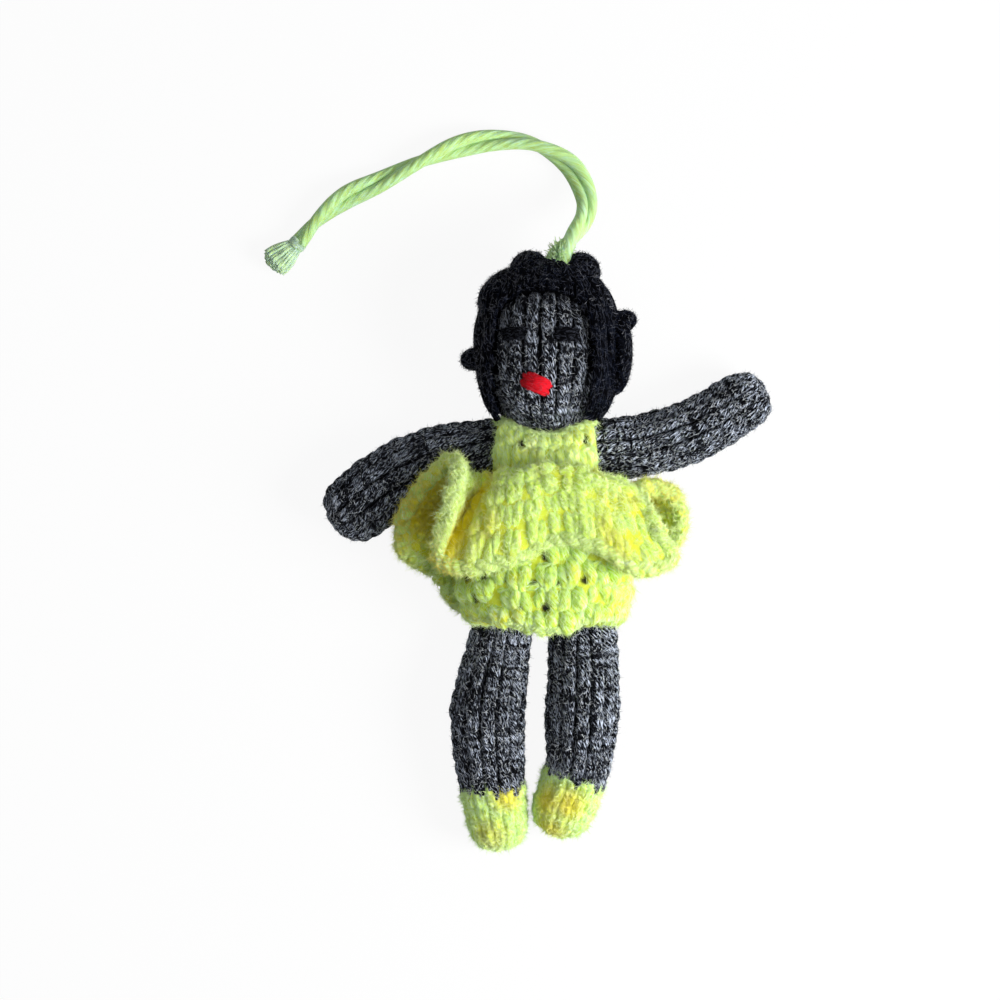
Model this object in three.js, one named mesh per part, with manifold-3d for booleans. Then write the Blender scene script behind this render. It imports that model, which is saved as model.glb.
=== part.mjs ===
// Knitted doll ornament in a crocheted dress with a waist ruffle, lying on its back.
// Millimetres. +Z points up, +Y to the doll's head and +X to the right of someone who
// looks down on its face; left and right are that viewer's. The origin is on the flat
// of the skirt's back.
import * as THREE from 'three';
import { mergeVertices } from 'three/addons/utils/BufferGeometryUtils.js';
import Module from 'manifold-3d';

const wasm = await Module();
wasm.setup();

// Fits and thicknesses
const gap = 0.3;
const knitWall = 1.5;
const dressWall = 2.2;
const ruffleWall = 2.0;
const hairWall = 3.0;
const threadRadius = 0.6;
const floorPress = 0.5;
const tipBluntness = 0.8;

// Torso: height up the body, half width and half depth at each level
const torsoZ = 12.8;
const crotchY = -1.5;
const crotchHalfWidth = 8.0;
const crotchHalfDepth = 5.5;
const hipY = 7.0;
const hipHalfWidth = 14.2;
const hipHalfDepth = 9.0;
const waistY = 21.0;
const waistHalfWidth = 9.6;
const waistHalfDepth = 8.4;
const chestY = 31.0;
const chestHalfWidth = 9.2;
const chestHalfDepth = 8.2;
const neckY = 36.9;
const neckHalfWidth = 5.8;
const neckHalfDepth = 5.6;
const neckOpeningRadius = 3.6;

// Head: an egg that narrows to the chin
const headX = 0.5;
const headHalfWidth = 12.6;
const headHalfHeight = 16.6;
const headHalfDepth = 12.8;
const chinTaper = 0.05;
const chinFullness = 1.7;
const crownFullness = 1.15;

// Face: places are measured from the middle of the head
const eyeHalfLength = 2.9;
const eyeHalfHeight = 1.1;
const leftEyePlace = [-7.5, 3.4];
const rightEyePlace = [3.5, 3.2];
const mouthHalfLength = 3.5;
const mouthHalfHeight = 1.7;
const mouthPlace = [-2.5, -7.3];
const mouthSlant = -32;
const stitchHalfDepth = 1.2;

// Hair: window for the face, nape line and the lobes that stand on the cap
const faceWindowHalfWidth = 11.0;
const faceWindowHalfHeight = 15.2;
const faceWindowPlace = [-1.8, -3.1];
const napeRise = 4.4;
const topLobeHalfLength = 4.7;
const sideLobeHalfLengths = [6.5, 9.5];
const topLobeHalfHeight = 4.2;
const sideLobeHalfHeight = 3.0;
const lobeHalfDepth = 7.0;
const curlRadius = 2.7;
const leftLobeSink = 2.0;
const rightLobeSink = 1.0;
const topLobeSinks = [2.4, 1.6];
const curlStands = [0.1, 0.8];
const sideLobeTurns = [132, -1];
const topLobeTurns = [103, 66];
const curlTurns = [185, 18];

// Arms: places of the tube's axis in plan, and the tube's radius at each
const leftArmPlan = [[-12.4, 32.9], [-23.5, 30.5], [-34.4, 25.1], [-41.8, 19.6]];
const leftArmRadii = [6.3, 7.1, 7.7, 7.1];
const rightArmPlan = [[12.0, 33.1], [20.7, 33.6], [32.3, 37.1], [43.4, 43.4]];
const rightArmRadii = [6.3, 6.5, 6.5, 6.1];
const shoulderRise = 2.2;
const handLength = 5.2;
const armOpeningRadius = 2.2;
const shoulderSeamInset = 3.8;
const leftArmSwing = [-40, 8];
const rightArmSwing = [-20, 12];
const armholeSwing = 27;

// Legs: the same, from the hip to the toe
const leftLegPlan = [[-8.6, -2.4], [-10.2, -10.9], [-12.4, -24.6], [-11.6, -39.2], [-10.3, -48.4]];
const leftLegRadii = [6.0, 6.7, 7.9, 7.0, 6.2];
const rightLegPlan = [[7.6, -2.4], [8.3, -10.4], [8.1, -24.6], [7.0, -37.0], [4.1, -45.4]];
const rightLegRadii = [6.6, 7.3, 7.8, 6.8, 6.4];
const hipRise = 4.0;
const toeLength = 6.0;
const shoeStart = 0.76;
const hipSeamInset = 4.2;
const legSwing = 40;

// Dress: skirt levels, neckline and the roll of the ruffle
const skirtFlankY = 12.0;
const skirtFlankHalfWidth = 16.6;
const skirtSeatY = 3.0;
const skirtSeatHalfWidth = 18.9;
const skirtHemY = -4.6;
const skirtHemHalfWidth = 17.3;
const skirtHemDip = 2.2;
const skirtHalfDepth = 13.3;
const bodiceShoulderY = 35.8;
const strapRise = 2.4;
const sectionFullness = 2.4;
const ruffleRootY = 23.0;
const ruffleReach = 5.0;
const ruffleRoll = 14.0;

// Free edge of the ruffle: from the front middle by the left side and the back to the right
const ruffleLeftEdge = [
  [2, 13, 27], [-9, 8, 28], [-18, 6.8, 27], [-23, 9, 26.5], [-21.5, 18, 27], [-18.5, 28, 25.5],
  [-20.5, 30.5, 22], [-26, 25.5, 19.5], [-31.3, 17, 16], [-31, 9.8, 11], [-24, 5.2, 7], [-18.6, -2, 2.6],
];
const ruffleRightEdge = [
  [0, 11, 1], [13, 10, 1.4], [24, 8.5, 6], [30, 16, 12.5], [27, 23.5, 16], [20.5, 24, 19.5],
  [22.5, 15.5, 24], [27, 8.7, 22.5], [19, 6.4, 26], [10.5, 11.6, 27.5],
];

// Folds that sink into the ruffle: place in edge points, share of its fall, depth and half sizes
const ruffleFolds = [
  { place: 2.65, fall: 0.65, depth: 9, halfPlace: 0.75, halfFall: 0.3 },
  { place: 7.6, fall: 0.65, depth: 6, halfPlace: 1.2, halfFall: 0.35 },
  { place: 16.2, fall: 0.65, depth: 5, halfPlace: 0.8, halfFall: 0.25 },
];

// Hanger: a doubled yarn from the crown to its knot
const cordDiameter = 4.4;
const cordRoute = [
  [2.4, 74.4, 15.4], [4.2, 76.6, 14.4], [6.6, 79.4, 11.8], [8.7, 83.6, 8.0], [9.0, 88.6, 4.6],
  [5.6, 95.4, 2.6], [-2.6, 100.2, 2.3], [-10.9, 101.0, 2.3], [-18.6, 99.7, 2.3], [-27.5, 96.2, 2.3],
  [-36.4, 91.8, 2.3], [-44.0, 88.2, 2.3], [-50.0, 83.4, 2.3], [-54.2, 78.4, 2.6],
];
const knotHalfLength = 4.1;
const knotHalfWidth = 3.4;
const knotHalfHeight = 3.0;

// Facets
const limbSides = 12;
const limbSteps = 6;
const coreSides = 10;
const torsoSides = 14;
const headSides = 18;
const headSteps = 10;
const dressSides = 24;
const ruffleSides = 66;
const ruffleLevels = 6;
const ballSides = 12;
const ballSteps = 8;
const ringSides = 16;
const threadSides = 5;
const torsoSteps = 7;
const bodiceSteps = 3;
const skirtSteps = 6;
const capTurns = [28, 55, 80];
const windowSides = 24;
const cordSteps = 16;
const cordSides = 5;

const headY = neckY + gap + headHalfHeight;
const headZ = headHalfDepth + hairWall + gap - floorPress;
const crownGrow = gap + hairWall;

// Working lengths: longer than the doll, and short enough to weld seams of a skin
const reach = 200;
const weldDistance = 1e-4;

function makeSolid(geometry) {
  const bare = geometry.clone();
  bare.deleteAttribute('normal');
  bare.deleteAttribute('uv');
  const merged = mergeVertices(bare, weldDistance);
  const triVerts = new Uint32Array(merged.index.array);
  const vertProperties = new Float32Array(merged.attributes.position.array);
  return new wasm.Manifold(new wasm.Mesh({ numProp: 3, vertProperties, triVerts }));
}

// The largest body of a cut solid, without the slivers that a cut can leave beside it
function mainBody(solid) {
  const bodies = solid.decompose();
  bodies.sort((first, second) => second.volume() - first.volume());
  return bodies[0];
}

function makeMesh(name, solid, material) {
  const cut = mainBody(solid).getMesh();
  const geometry = new THREE.BufferGeometry();
  geometry.setAttribute('position', new THREE.BufferAttribute(cut.vertProperties, 3));
  geometry.setIndex(new THREE.BufferAttribute(cut.triVerts, 1));
  geometry.computeVertexNormals();
  const mesh = new THREE.Mesh(geometry, material.clone());
  mesh.name = name;
  return mesh;
}

// A closed skin over rings of equal count: capped at both ends, or wrapped from last to first
function loft(rings, wrapped) {
  const sides = rings[0].length;
  const points = rings.flat();
  const faces = [];
  const spans = wrapped ? rings.length : rings.length - 1;
  for (let ring = 0; ring < spans; ring++) {
    const near = ring * sides;
    const far = ((ring + 1) % rings.length) * sides;
    for (let side = 0; side < sides; side++) {
      const next = (side + 1) % sides;
      faces.push(near + side, near + next, far + next, near + side, far + next, far + side);
    }
  }
  if (!wrapped) {
    const last = (rings.length - 1) * sides;
    const start = points.push(middle(rings[0])) - 1;
    const end = points.push(middle(rings[rings.length - 1])) - 1;
    for (let side = 0; side < sides; side++) {
      const next = (side + 1) % sides;
      faces.push(start, next, side, end, last + side, last + next);
    }
  }
  const geometry = new THREE.BufferGeometry().setFromPoints(points);
  geometry.setIndex(faces);
  const solid = makeSolid(geometry);
  if (solid.volume() > 0) {
    return solid;
  }
  geometry.setIndex(faces.reverse());
  return makeSolid(geometry);
}

function middle(ring) {
  const sum = new THREE.Vector3();
  for (const point of ring) {
    sum.add(point);
  }
  return sum.divideScalar(ring.length);
}

function blob(centre, halves, slant, grow) {
  const ball = new THREE.SphereGeometry(1, ballSides, ballSteps);
  ball.scale(halves[0] + grow, halves[1] + grow, halves[2] + grow);
  ball.rotateZ(THREE.MathUtils.degToRad(slant));
  ball.translate(...centre);
  return makeSolid(ball);
}

// A faceted ball that has no point inside the true ball of this radius
function ballRoom(centre, radius) {
  const flats = Math.cos(Math.PI / ballSides) * Math.cos(Math.PI / (2 * ballSteps));
  return blob(centre, [radius / flats, radius / flats, radius / flats], 0, 0);
}

function block(low, high) {
  const box = new THREE.BoxGeometry(high[0] - low[0], high[1] - low[1], high[2] - low[2]);
  box.translate((low[0] + high[0]) / 2, (low[1] + high[1]) / 2, (low[2] + high[2]) / 2);
  return makeSolid(box);
}

function turned(solid, pivot, degrees) {
  return solid.translate(pivot.map((value) => -value)).rotate(degrees).translate(pivot);
}

const floor = block([-reach, -reach, -reach], [reach, reach, 0]);

// A stuffed tube: round sections along a smooth axis, a ball at the root and a blunt tip
function limb(form, sides, grow) {
  const axis = new THREE.CatmullRomCurve3(form.axis.map((point) => new THREE.Vector3(...point)));
  const swell = new THREE.CatmullRomCurve3(form.radii.map((radius) => new THREE.Vector3(radius, 0, 0)));
  const rings = [];
  const addRing = (at, shift, share) => {
    const tangent = axis.getTangent(at);
    const across = new THREE.Vector3().crossVectors(tangent, new THREE.Vector3(0, 0, 1)).normalize();
    const upward = new THREE.Vector3().crossVectors(across, tangent);
    const centre = axis.getPoint(at).addScaledVector(tangent, shift);
    const radius = (swell.getPoint(at).x + grow) * share;
    const ring = [];
    for (let side = 0; side < sides; side++) {
      const angle = (2 * Math.PI * side) / sides;
      const point = centre.clone().addScaledVector(across, radius * Math.cos(angle));
      ring.push(point.addScaledVector(upward, radius * Math.sin(angle)));
    }
    rings.push(ring);
  };
  const rootRadius = form.radii[0] + grow;
  const tipLength = form.tipLength + grow;
  for (const turn of capTurns.toReversed()) {
    const angle = THREE.MathUtils.degToRad(turn);
    addRing(0, -rootRadius * Math.sin(angle), Math.cos(angle));
  }
  for (let step = 0; step <= limbSteps; step++) {
    addRing(step / limbSteps, 0, 1);
  }
  for (const turn of capTurns) {
    const angle = THREE.MathUtils.degToRad(turn);
    addRing(1, tipLength * Math.sin(angle), Math.cos(angle) ** tipBluntness);
  }
  return loft(rings, false);
}

// A limb's axis lies so low that its underside is pressed flat, and rises at the root
function layLimb(plan, radii, rise, tipLength) {
  const axis = plan.map(([x, y], index) => {
    const lift = index === 0 ? rise : 0;
    return [x, y, radii[index] - floorPress + lift];
  });
  return { axis, radii, tipLength };
}

// Everything beyond a plane that crosses a limb's axis squarely
function beyond(form, at, shift) {
  const axis = new THREE.CatmullRomCurve3(form.axis.map((point) => new THREE.Vector3(...point)));
  const tangent = axis.getTangent(at);
  const box = new THREE.BoxGeometry(reach, reach, reach);
  box.translate(0, 0, reach / 2 + shift);
  box.applyQuaternion(new THREE.Quaternion().setFromUnitVectors(new THREE.Vector3(0, 0, 1), tangent));
  box.translate(...axis.getPoint(at).toArray());
  return makeSolid(box);
}

const leftArm = layLimb(leftArmPlan, leftArmRadii, shoulderRise, handLength);
const rightArm = layLimb(rightArmPlan, rightArmRadii, shoulderRise, handLength);
const leftLeg = layLimb(leftLegPlan, leftLegRadii, hipRise, toeLength);
const rightLeg = layLimb(rightLegPlan, rightLegRadii, hipRise, toeLength);

// The room a limb needs at rest and at both ends of its swing
function swingRoom(form, swing, axis) {
  let room = limb(form, limbSides, gap);
  for (const degrees of swing) {
    const turn = axis.map((value) => value * degrees);
    room = room.add(turned(limb(form, limbSides, gap), form.axis[0], turn));
  }
  return room;
}

const leftArmRoom = swingRoom(leftArm, leftArmSwing, [0, 0, 1]);
const rightArmRoom = swingRoom(rightArm, rightArmSwing, [0, 0, 1]);
const leftLegRoom = swingRoom(leftLeg, [-legSwing], [1, 0, 0]);
const rightLegRoom = swingRoom(rightLeg, [-legSwing], [1, 0, 0]);

// Rounded-square sections round the body's long axis, used by the torso and the dress
function bodyRing(level, sides, grow, lift) {
  const ring = [];
  for (let side = 0; side < sides; side++) {
    const angle = (2 * Math.PI * side) / sides;
    const across = Math.sign(Math.cos(angle)) * Math.abs(Math.cos(angle)) ** (2 / sectionFullness);
    const upward = Math.sign(Math.sin(angle)) * Math.abs(Math.sin(angle)) ** (2 / sectionFullness);
    const x = (level.y + grow) * across;
    const z = torsoZ + (level.z + grow) * upward;
    ring.push(new THREE.Vector3(x, level.x + lift(angle), z));
  }
  return ring;
}

function bodyLevels(stations, steps) {
  const curve = new THREE.CatmullRomCurve3(stations.map((station) => new THREE.Vector3(...station)));
  return curve.getPoints(steps);
}

function bodySolid(stations, steps, sides, grow, lift) {
  const levels = bodyLevels(stations, steps);
  const liftAt = (index) => (angle) => lift(index / steps, angle);
  const rings = levels.map((level, index) => bodyRing(level, sides, grow, liftAt(index)));
  const upward = Math.sign(levels[steps].x - levels[0].x);
  rings[0].forEach((point) => point.setY(point.y - grow * upward));
  rings[steps].forEach((point) => point.setY(point.y + grow * upward));
  return loft(rings, false);
}

// A tube of cloth: the outer skin up, then the inner skin down again
function clothTube(stations, steps, wall, lift) {
  const levels = bodyLevels(stations, steps);
  const liftAt = (index) => (angle) => lift(index / steps, angle);
  const outer = levels.map((level, index) => bodyRing(level, dressSides, 0, liftAt(index)));
  const inner = levels.map((level, index) => bodyRing(level, dressSides, -wall, liftAt(index)));
  return loft(outer.concat(inner.reverse()), true);
}

const torsoStations = [
  [crotchY, crotchHalfWidth, crotchHalfDepth],
  [hipY, hipHalfWidth, hipHalfDepth],
  [waistY, waistHalfWidth, waistHalfDepth],
  [chestY, chestHalfWidth, chestHalfDepth],
  [neckY, neckHalfWidth, neckHalfDepth],
];
const evenEnds = () => 0;
const torso = (grow) => bodySolid(torsoStations, torsoSteps, torsoSides, grow, evenEnds);

// Hollows where the limbs' root balls are sewn against the body
function rootHollows(grow) {
  let hollows = null;
  for (const form of [leftArm, rightArm, leftLeg, rightLeg]) {
    const ball = ballRoom(form.axis[0], form.radii[0] + grow);
    hollows = hollows ? hollows.add(ball) : ball;
  }
  return hollows;
}

// A ring of sewing yarn round a limb's root ball, on the body's side of it
function seamRing(form, inset, direction, grow) {
  const section = Math.sqrt(form.radii[0] ** 2 - inset ** 2) + gap + threadRadius;
  const ring = new THREE.TorusGeometry(section, threadRadius + grow, threadSides, ringSides);
  ring.applyQuaternion(new THREE.Quaternion().setFromUnitVectors(new THREE.Vector3(0, 0, 1), direction));
  const place = new THREE.Vector3(...form.axis[0]).addScaledVector(direction, inset);
  ring.translate(...place.toArray());
  return makeSolid(ring);
}

const seamForms = {
  left_shoulder_seam: [leftArm, shoulderSeamInset, new THREE.Vector3(1, 0, 0)],
  right_shoulder_seam: [rightArm, shoulderSeamInset, new THREE.Vector3(-1, 0, 0)],
  left_hip_seam: [leftLeg, hipSeamInset, new THREE.Vector3(0, 1, 0)],
  right_hip_seam: [rightLeg, hipSeamInset, new THREE.Vector3(0, 1, 0)],
};

function withoutSeams(solid) {
  let cut = solid;
  for (const [form, inset, direction] of Object.values(seamForms)) {
    cut = cut.subtract(seamRing(form, inset, direction, gap));
  }
  return cut;
}

// The thread that gathers the neck, round the top of the torso
function neckThread(grow) {
  const ring = new THREE.TorusGeometry(1, 1, threadSides, ringSides);
  const place = ring.attributes.position;
  for (let index = 0; index < place.count; index++) {
    const bend = Math.atan2(place.getY(index), place.getX(index));
    const outward = Math.hypot(place.getX(index), place.getY(index)) - 1;
    const width = neckHalfWidth + gap + threadRadius + outward * (threadRadius + grow);
    const depth = neckHalfDepth + gap + threadRadius + outward * (threadRadius + grow);
    const height = neckY - threadRadius + place.getZ(index) * (threadRadius + grow);
    place.setXYZ(index, width * Math.cos(bend), height, torsoZ - depth * Math.sin(bend));
  }
  return makeSolid(ring);
}

// Share of the head's width at a share of its height: fuller to the chin than to the crown
function headSpread(rise) {
  const fullness = rise < 0 ? chinFullness : crownFullness;
  return Math.sqrt(1 - rise ** 2) ** (1 / fullness) * (1 + chinTaper * rise);
}

// Head: an egg turned round the neck's line
function egg(grow) {
  const profile = [];
  for (let step = 0; step <= headSteps; step++) {
    const angle = (Math.PI * step) / headSteps;
    const rise = -Math.cos(angle);
    const radius = step % headSteps === 0 ? 0 : headSpread(rise);
    profile.push(new THREE.Vector2(radius, rise));
  }
  const geometry = new THREE.LatheGeometry(profile, headSides);
  geometry.scale(headHalfWidth + grow, headHalfHeight + grow, headHalfDepth + grow);
  geometry.translate(headX, headY, headZ);
  return makeSolid(geometry);
}

// Height of the face above a place that is measured from the middle of the head
function faceHeight([x, y]) {
  const spread = headSpread(y / headHalfHeight);
  return headZ + headHalfDepth * Math.sqrt(spread ** 2 - (x / headHalfWidth) ** 2);
}

function faceStitch(place, halves, slant) {
  const centre = [headX + place[0], headY + place[1], faceHeight(place) + gap];
  return blob(centre, halves, slant, 0).subtract(egg(gap));
}

// Hair lobes: half sizes along and across the cap, and the direction from the middle of the head
const sideHalves = sideLobeHalfLengths.map((length) => [length, sideLobeHalfHeight, lobeHalfDepth]);
const topHalves = [topLobeHalfLength, topLobeHalfHeight, lobeHalfDepth];
const curlHalves = [curlRadius, curlRadius, curlRadius];
const lobeForms = {
  hair_side_left: { turn: sideLobeTurns[0], sink: leftLobeSink, halves: sideHalves[0] },
  hair_side_right: { turn: sideLobeTurns[1], sink: rightLobeSink, halves: sideHalves[1] },
  hair_top_left: { turn: topLobeTurns[0], sink: topLobeSinks[0], halves: topHalves },
  hair_top_right: { turn: topLobeTurns[1], sink: topLobeSinks[1], halves: topHalves },
  hair_curl_left: { turn: curlTurns[0], sink: -curlStands[0], halves: curlHalves },
  hair_curl_right: { turn: curlTurns[1], sink: -curlStands[1], halves: curlHalves },
};

function lobe(form, grow) {
  const angle = THREE.MathUtils.degToRad(form.turn);
  const outward = crownGrow - form.sink;
  const x = headX + (headHalfWidth + outward) * headSpread(Math.sin(angle)) * Math.sign(Math.cos(angle));
  const y = headY + (headHalfHeight + outward) * Math.sin(angle);
  return blob([x, y, headZ], form.halves, form.turn - 90, grow);
}

// Doubled hanger yarn as one round tube
function cord(grow) {
  const section = new THREE.Shape();
  section.absarc(0, 0, cordDiameter / 2 + grow, 0, 2 * Math.PI);
  const path = new THREE.CatmullRomCurve3(cordRoute.map((point) => new THREE.Vector3(...point)));
  const options = { steps: cordSteps, curveSegments: cordSides, bevelEnabled: false, extrudePath: path };
  return makeSolid(new THREE.ExtrudeGeometry(section, options));
}

function knot() {
  const end = new THREE.Vector3(...cordRoute[cordRoute.length - 1]);
  const before = new THREE.Vector3(...cordRoute[cordRoute.length - 2]);
  const heading = end.clone().sub(before).setZ(0).normalize();
  const place = end.clone().addScaledVector(heading, knotHalfLength - gap);
  const slant = THREE.MathUtils.radToDeg(Math.atan2(heading.y, heading.x));
  const halves = [knotHalfLength, knotHalfWidth, knotHalfHeight];
  const ball = blob([place.x, place.y, knotHalfHeight], halves, slant, 0);
  const face = new THREE.BoxGeometry(reach, reach, reach);
  face.translate(-reach / 2 + gap, 0, 0);
  face.rotateZ(THREE.MathUtils.degToRad(slant));
  face.translate(end.x, end.y, end.z);
  return ball.subtract(makeSolid(face));
}

// Armholes: a ball round each shoulder that clears the arm's tube over its swing, and the seam
function armholes() {
  let holes = null;
  for (const form of [leftArm, rightArm]) {
    const radius = form.radii[1] / Math.cos(THREE.MathUtils.degToRad(armholeSwing));
    const hole = ballRoom(form.axis[0], radius + gap);
    holes = holes ? holes.add(hole) : hole;
  }
  return holes;
}

// Ruffle: from its root round the waist it rolls up and outward, and falls to its free edge
function ruffle() {
  const edgePoints = ruffleLeftEdge.concat(ruffleRightEdge).map((point) => new THREE.Vector3(...point));
  const edge = new THREE.CatmullRomCurve3(edgePoints, true);
  const leftShare = ruffleLeftEdge.length / edgePoints.length;
  const stand = gap + dressWall + gap + ruffleWall / 2;
  const low = ruffleWall / 2;
  const foldDepth = (share, down) => {
    let depth = 0;
    for (const fold of ruffleFolds) {
      const aside = (share * edgePoints.length - fold.place) / fold.halfPlace;
      const below = (down - fold.fall) / fold.halfFall;
      depth += fold.depth * Math.exp(-(aside ** 2) - below ** 2);
    }
    return depth * Math.sin(Math.PI * THREE.MathUtils.clamp(down, 0, 1));
  };
  const surface = (round, down) => {
    const share = ((round % 1) + 1) % 1;
    const left = share < leftShare;
    const part = left ? share / leftShare : 1 + (share - leftShare) / (1 - leftShare);
    const angle = Math.PI / 2 + Math.PI * part;
    const across = Math.cos(angle);
    const upward = Math.sin(angle);
    const rootX = (waistHalfWidth + stand) * across;
    const rootZ = torsoZ + (waistHalfDepth + stand) * upward;
    const root = new THREE.Vector3(rootX, ruffleRootY, Math.max(low, rootZ));
    const rollX = rootX + ruffleReach * across;
    const rollZ = Math.max(low, rootZ + ruffleReach * upward);
    const roll = new THREE.Vector3(rollX, ruffleRootY + ruffleRoll * Math.max(0, upward), rollZ);
    const point = new THREE.QuadraticBezierCurve3(root, roll, edge.getPoint(share)).getPoint(down);
    return point.setZ(Math.max(low, point.z - foldDepth(share, down)));
  };
  const nudge = 1e-3;
  const skin = (side) => {
    const rings = [];
    for (let level = 0; level <= ruffleLevels; level++) {
      const down = level / ruffleLevels;
      const ring = [];
      for (let step = 0; step < ruffleSides; step++) {
        const round = step / ruffleSides;
        const alongEdge = surface(round + nudge, down).sub(surface(round - nudge, down));
        const alongFall = surface(round, down + nudge).sub(surface(round, down - nudge));
        const normal = alongEdge.cross(alongFall).normalize();
        ring.push(surface(round, down).addScaledVector(normal, (side * ruffleWall) / 2));
      }
      rings.push(ring);
    }
    return rings;
  };
  return loft(skin(1).concat(skin(-1).reverse()), true);
}

const charcoalYarn = new THREE.MeshStandardMaterial({ color: 0x5b6068, roughness: 0.95, metalness: 0 });
const lemonYarn = new THREE.MeshStandardMaterial({ color: 0xe2ee78, roughness: 0.92, metalness: 0 });
const blackYarn = new THREE.MeshStandardMaterial({ color: 0x15171a, roughness: 0.9, metalness: 0 });
const redYarn = new THREE.MeshStandardMaterial({ color: 0xd0142f, roughness: 0.9, metalness: 0 });
const fibreFill = new THREE.MeshStandardMaterial({ color: 0xf1f0ea, roughness: 1, metalness: 0 });

const doll = new THREE.Group();

// Torso
const shellHollow = torso(-knitWall).subtract(rootHollows(gap + knitWall));
const neckHole = block(
  [-neckOpeningRadius, chestY, torsoZ - neckOpeningRadius],
  [neckOpeningRadius, neckY + reach, torsoZ + neckOpeningRadius],
);
const torsoSkin = torso(0).subtract(rootHollows(gap)).subtract(neckThread(gap)).subtract(shellHollow);
doll.add(makeMesh('torso_cover', withoutSeams(torsoSkin).subtract(neckHole), charcoalYarn));
const torsoCore = torso(-knitWall - gap).subtract(rootHollows(gap + knitWall + gap));
doll.add(makeMesh('torso_stuffing', torsoCore, fibreFill));
doll.add(makeMesh('neck_gather_thread', neckThread(0), charcoalYarn));
for (const [name, [form, inset, direction]] of Object.entries(seamForms)) {
  doll.add(makeMesh(name, seamRing(form, inset, direction, 0), charcoalYarn));
}

// Head and face
const headHole = new THREE.CylinderGeometry(neckOpeningRadius, neckOpeningRadius, reach, coreSides);
headHole.translate(headX, headY - reach / 2, headZ);
const headSkin = egg(0).subtract(egg(-knitWall)).subtract(makeSolid(headHole));
doll.add(makeMesh('head_cover', headSkin, charcoalYarn));
doll.add(makeMesh('head_stuffing', egg(-knitWall - gap), fibreFill));
const eyeHalves = [eyeHalfLength, eyeHalfHeight, stitchHalfDepth];
doll.add(makeMesh('left_eye', faceStitch(leftEyePlace, eyeHalves, 0), blackYarn));
doll.add(makeMesh('right_eye', faceStitch(rightEyePlace, eyeHalves, 0), blackYarn));
const mouthHalves = [mouthHalfLength, mouthHalfHeight, stitchHalfDepth];
doll.add(makeMesh('mouth', faceStitch(mouthPlace, mouthHalves, mouthSlant), redYarn));

// Hair
const windowTube = new THREE.CylinderGeometry(1, 1, reach, windowSides);
windowTube.rotateX(Math.PI / 2);
windowTube.scale(faceWindowHalfWidth, faceWindowHalfHeight, 1);
windowTube.translate(headX + faceWindowPlace[0], headY + faceWindowPlace[1], headZ + reach / 2);
const nape = block([-reach, -reach, -reach], [reach, neckY + napeRise, reach]);
const hairCap = egg(crownGrow).subtract(egg(gap)).subtract(makeSolid(windowTube)).subtract(nape);
doll.add(makeMesh('hair_cap', hairCap.subtract(cord(gap)).subtract(floor), blackYarn));
let hairBelow = egg(crownGrow + gap).add(cord(gap)).add(nape).add(makeSolid(windowTube)).add(floor);
for (const [name, form] of Object.entries(lobeForms)) {
  doll.add(makeMesh(name, lobe(form, 0).subtract(hairBelow), blackYarn));
  hairBelow = hairBelow.add(lobe(form, gap));
}

// Hanger
doll.add(makeMesh('hanger_cord', cord(0).subtract(egg(crownGrow + gap)), lemonYarn));
doll.add(makeMesh('hanger_knot', knot(), lemonYarn));

// Arms
for (const [side, form] of [['left', leftArm], ['right', rightArm]]) {
  const skin = limb(form, limbSides, 0).subtract(limb(form, limbSides, -knitWall));
  const opening = blob(form.axis[0], [reach, armOpeningRadius, armOpeningRadius], 0, 0);
  const bodySide = beyond(form, 0, -form.radii[0] / 2);
  const openSkin = skin.subtract(opening.subtract(bodySide)).subtract(floor);
  doll.add(makeMesh(`${side}_arm_cover`, openSkin, charcoalYarn));
  doll.add(makeMesh(`${side}_arm_stuffing`, limb(form, coreSides, -knitWall - gap), fibreFill));
}

// Legs and shoes
for (const [side, form] of [['left', leftLeg], ['right', rightLeg]]) {
  const skin = limb(form, limbSides, 0).subtract(limb(form, limbSides, -knitWall)).subtract(floor);
  const core = limb(form, coreSides, -knitWall - gap);
  doll.add(makeMesh(`${side}_leg_cover`, skin.subtract(beyond(form, shoeStart, -gap / 2)), charcoalYarn));
  doll.add(makeMesh(`${side}_leg_stuffing`, core, fibreFill));
  doll.add(makeMesh(`${side}_shoe`, skin.intersect(beyond(form, shoeStart, gap / 2)), lemonYarn));
}

// Dress
const dressStand = gap + dressWall;
const bodiceStations = [
  [waistY, waistHalfWidth + dressStand, waistHalfDepth + dressStand],
  [chestY, chestHalfWidth + dressStand, chestHalfDepth + dressStand],
  [bodiceShoulderY, neckHalfWidth + 2 * dressStand, neckHalfDepth + dressStand],
];
const skirtStations = [
  [waistY - gap, waistHalfWidth + dressStand, waistHalfDepth + dressStand],
  [skirtFlankY, skirtFlankHalfWidth, hipHalfDepth + dressStand],
  [skirtSeatY, skirtSeatHalfWidth, skirtHalfDepth],
  [skirtHemY, skirtHemHalfWidth, skirtHalfDepth],
];
const neckline = (share, angle) => share * strapRise * Math.cos(angle) ** 2;
const hemDip = (share, angle) => -share * skirtHemDip * Math.max(0, Math.sin(angle)) ** 2;
const torsoRoom = torso(gap).add(neckThread(gap));
const bodice = clothTube(bodiceStations, bodiceSteps, dressWall, neckline);
const skirt = clothTube(skirtStations, skirtSteps, dressWall, hemDip);
doll.add(makeMesh('dress_bodice', bodice.subtract(armholes()).subtract(torsoRoom), lemonYarn));
const skirtCloth = skirt.subtract(leftLegRoom).subtract(rightLegRoom).subtract(torsoRoom).subtract(floor);
doll.add(makeMesh('dress_skirt', skirtCloth, lemonYarn));
const bodiceForm = bodySolid(bodiceStations, bodiceSteps, dressSides, gap, neckline);
const skirtForm = bodySolid(skirtStations, skirtSteps, dressSides, gap, hemDip);
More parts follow.
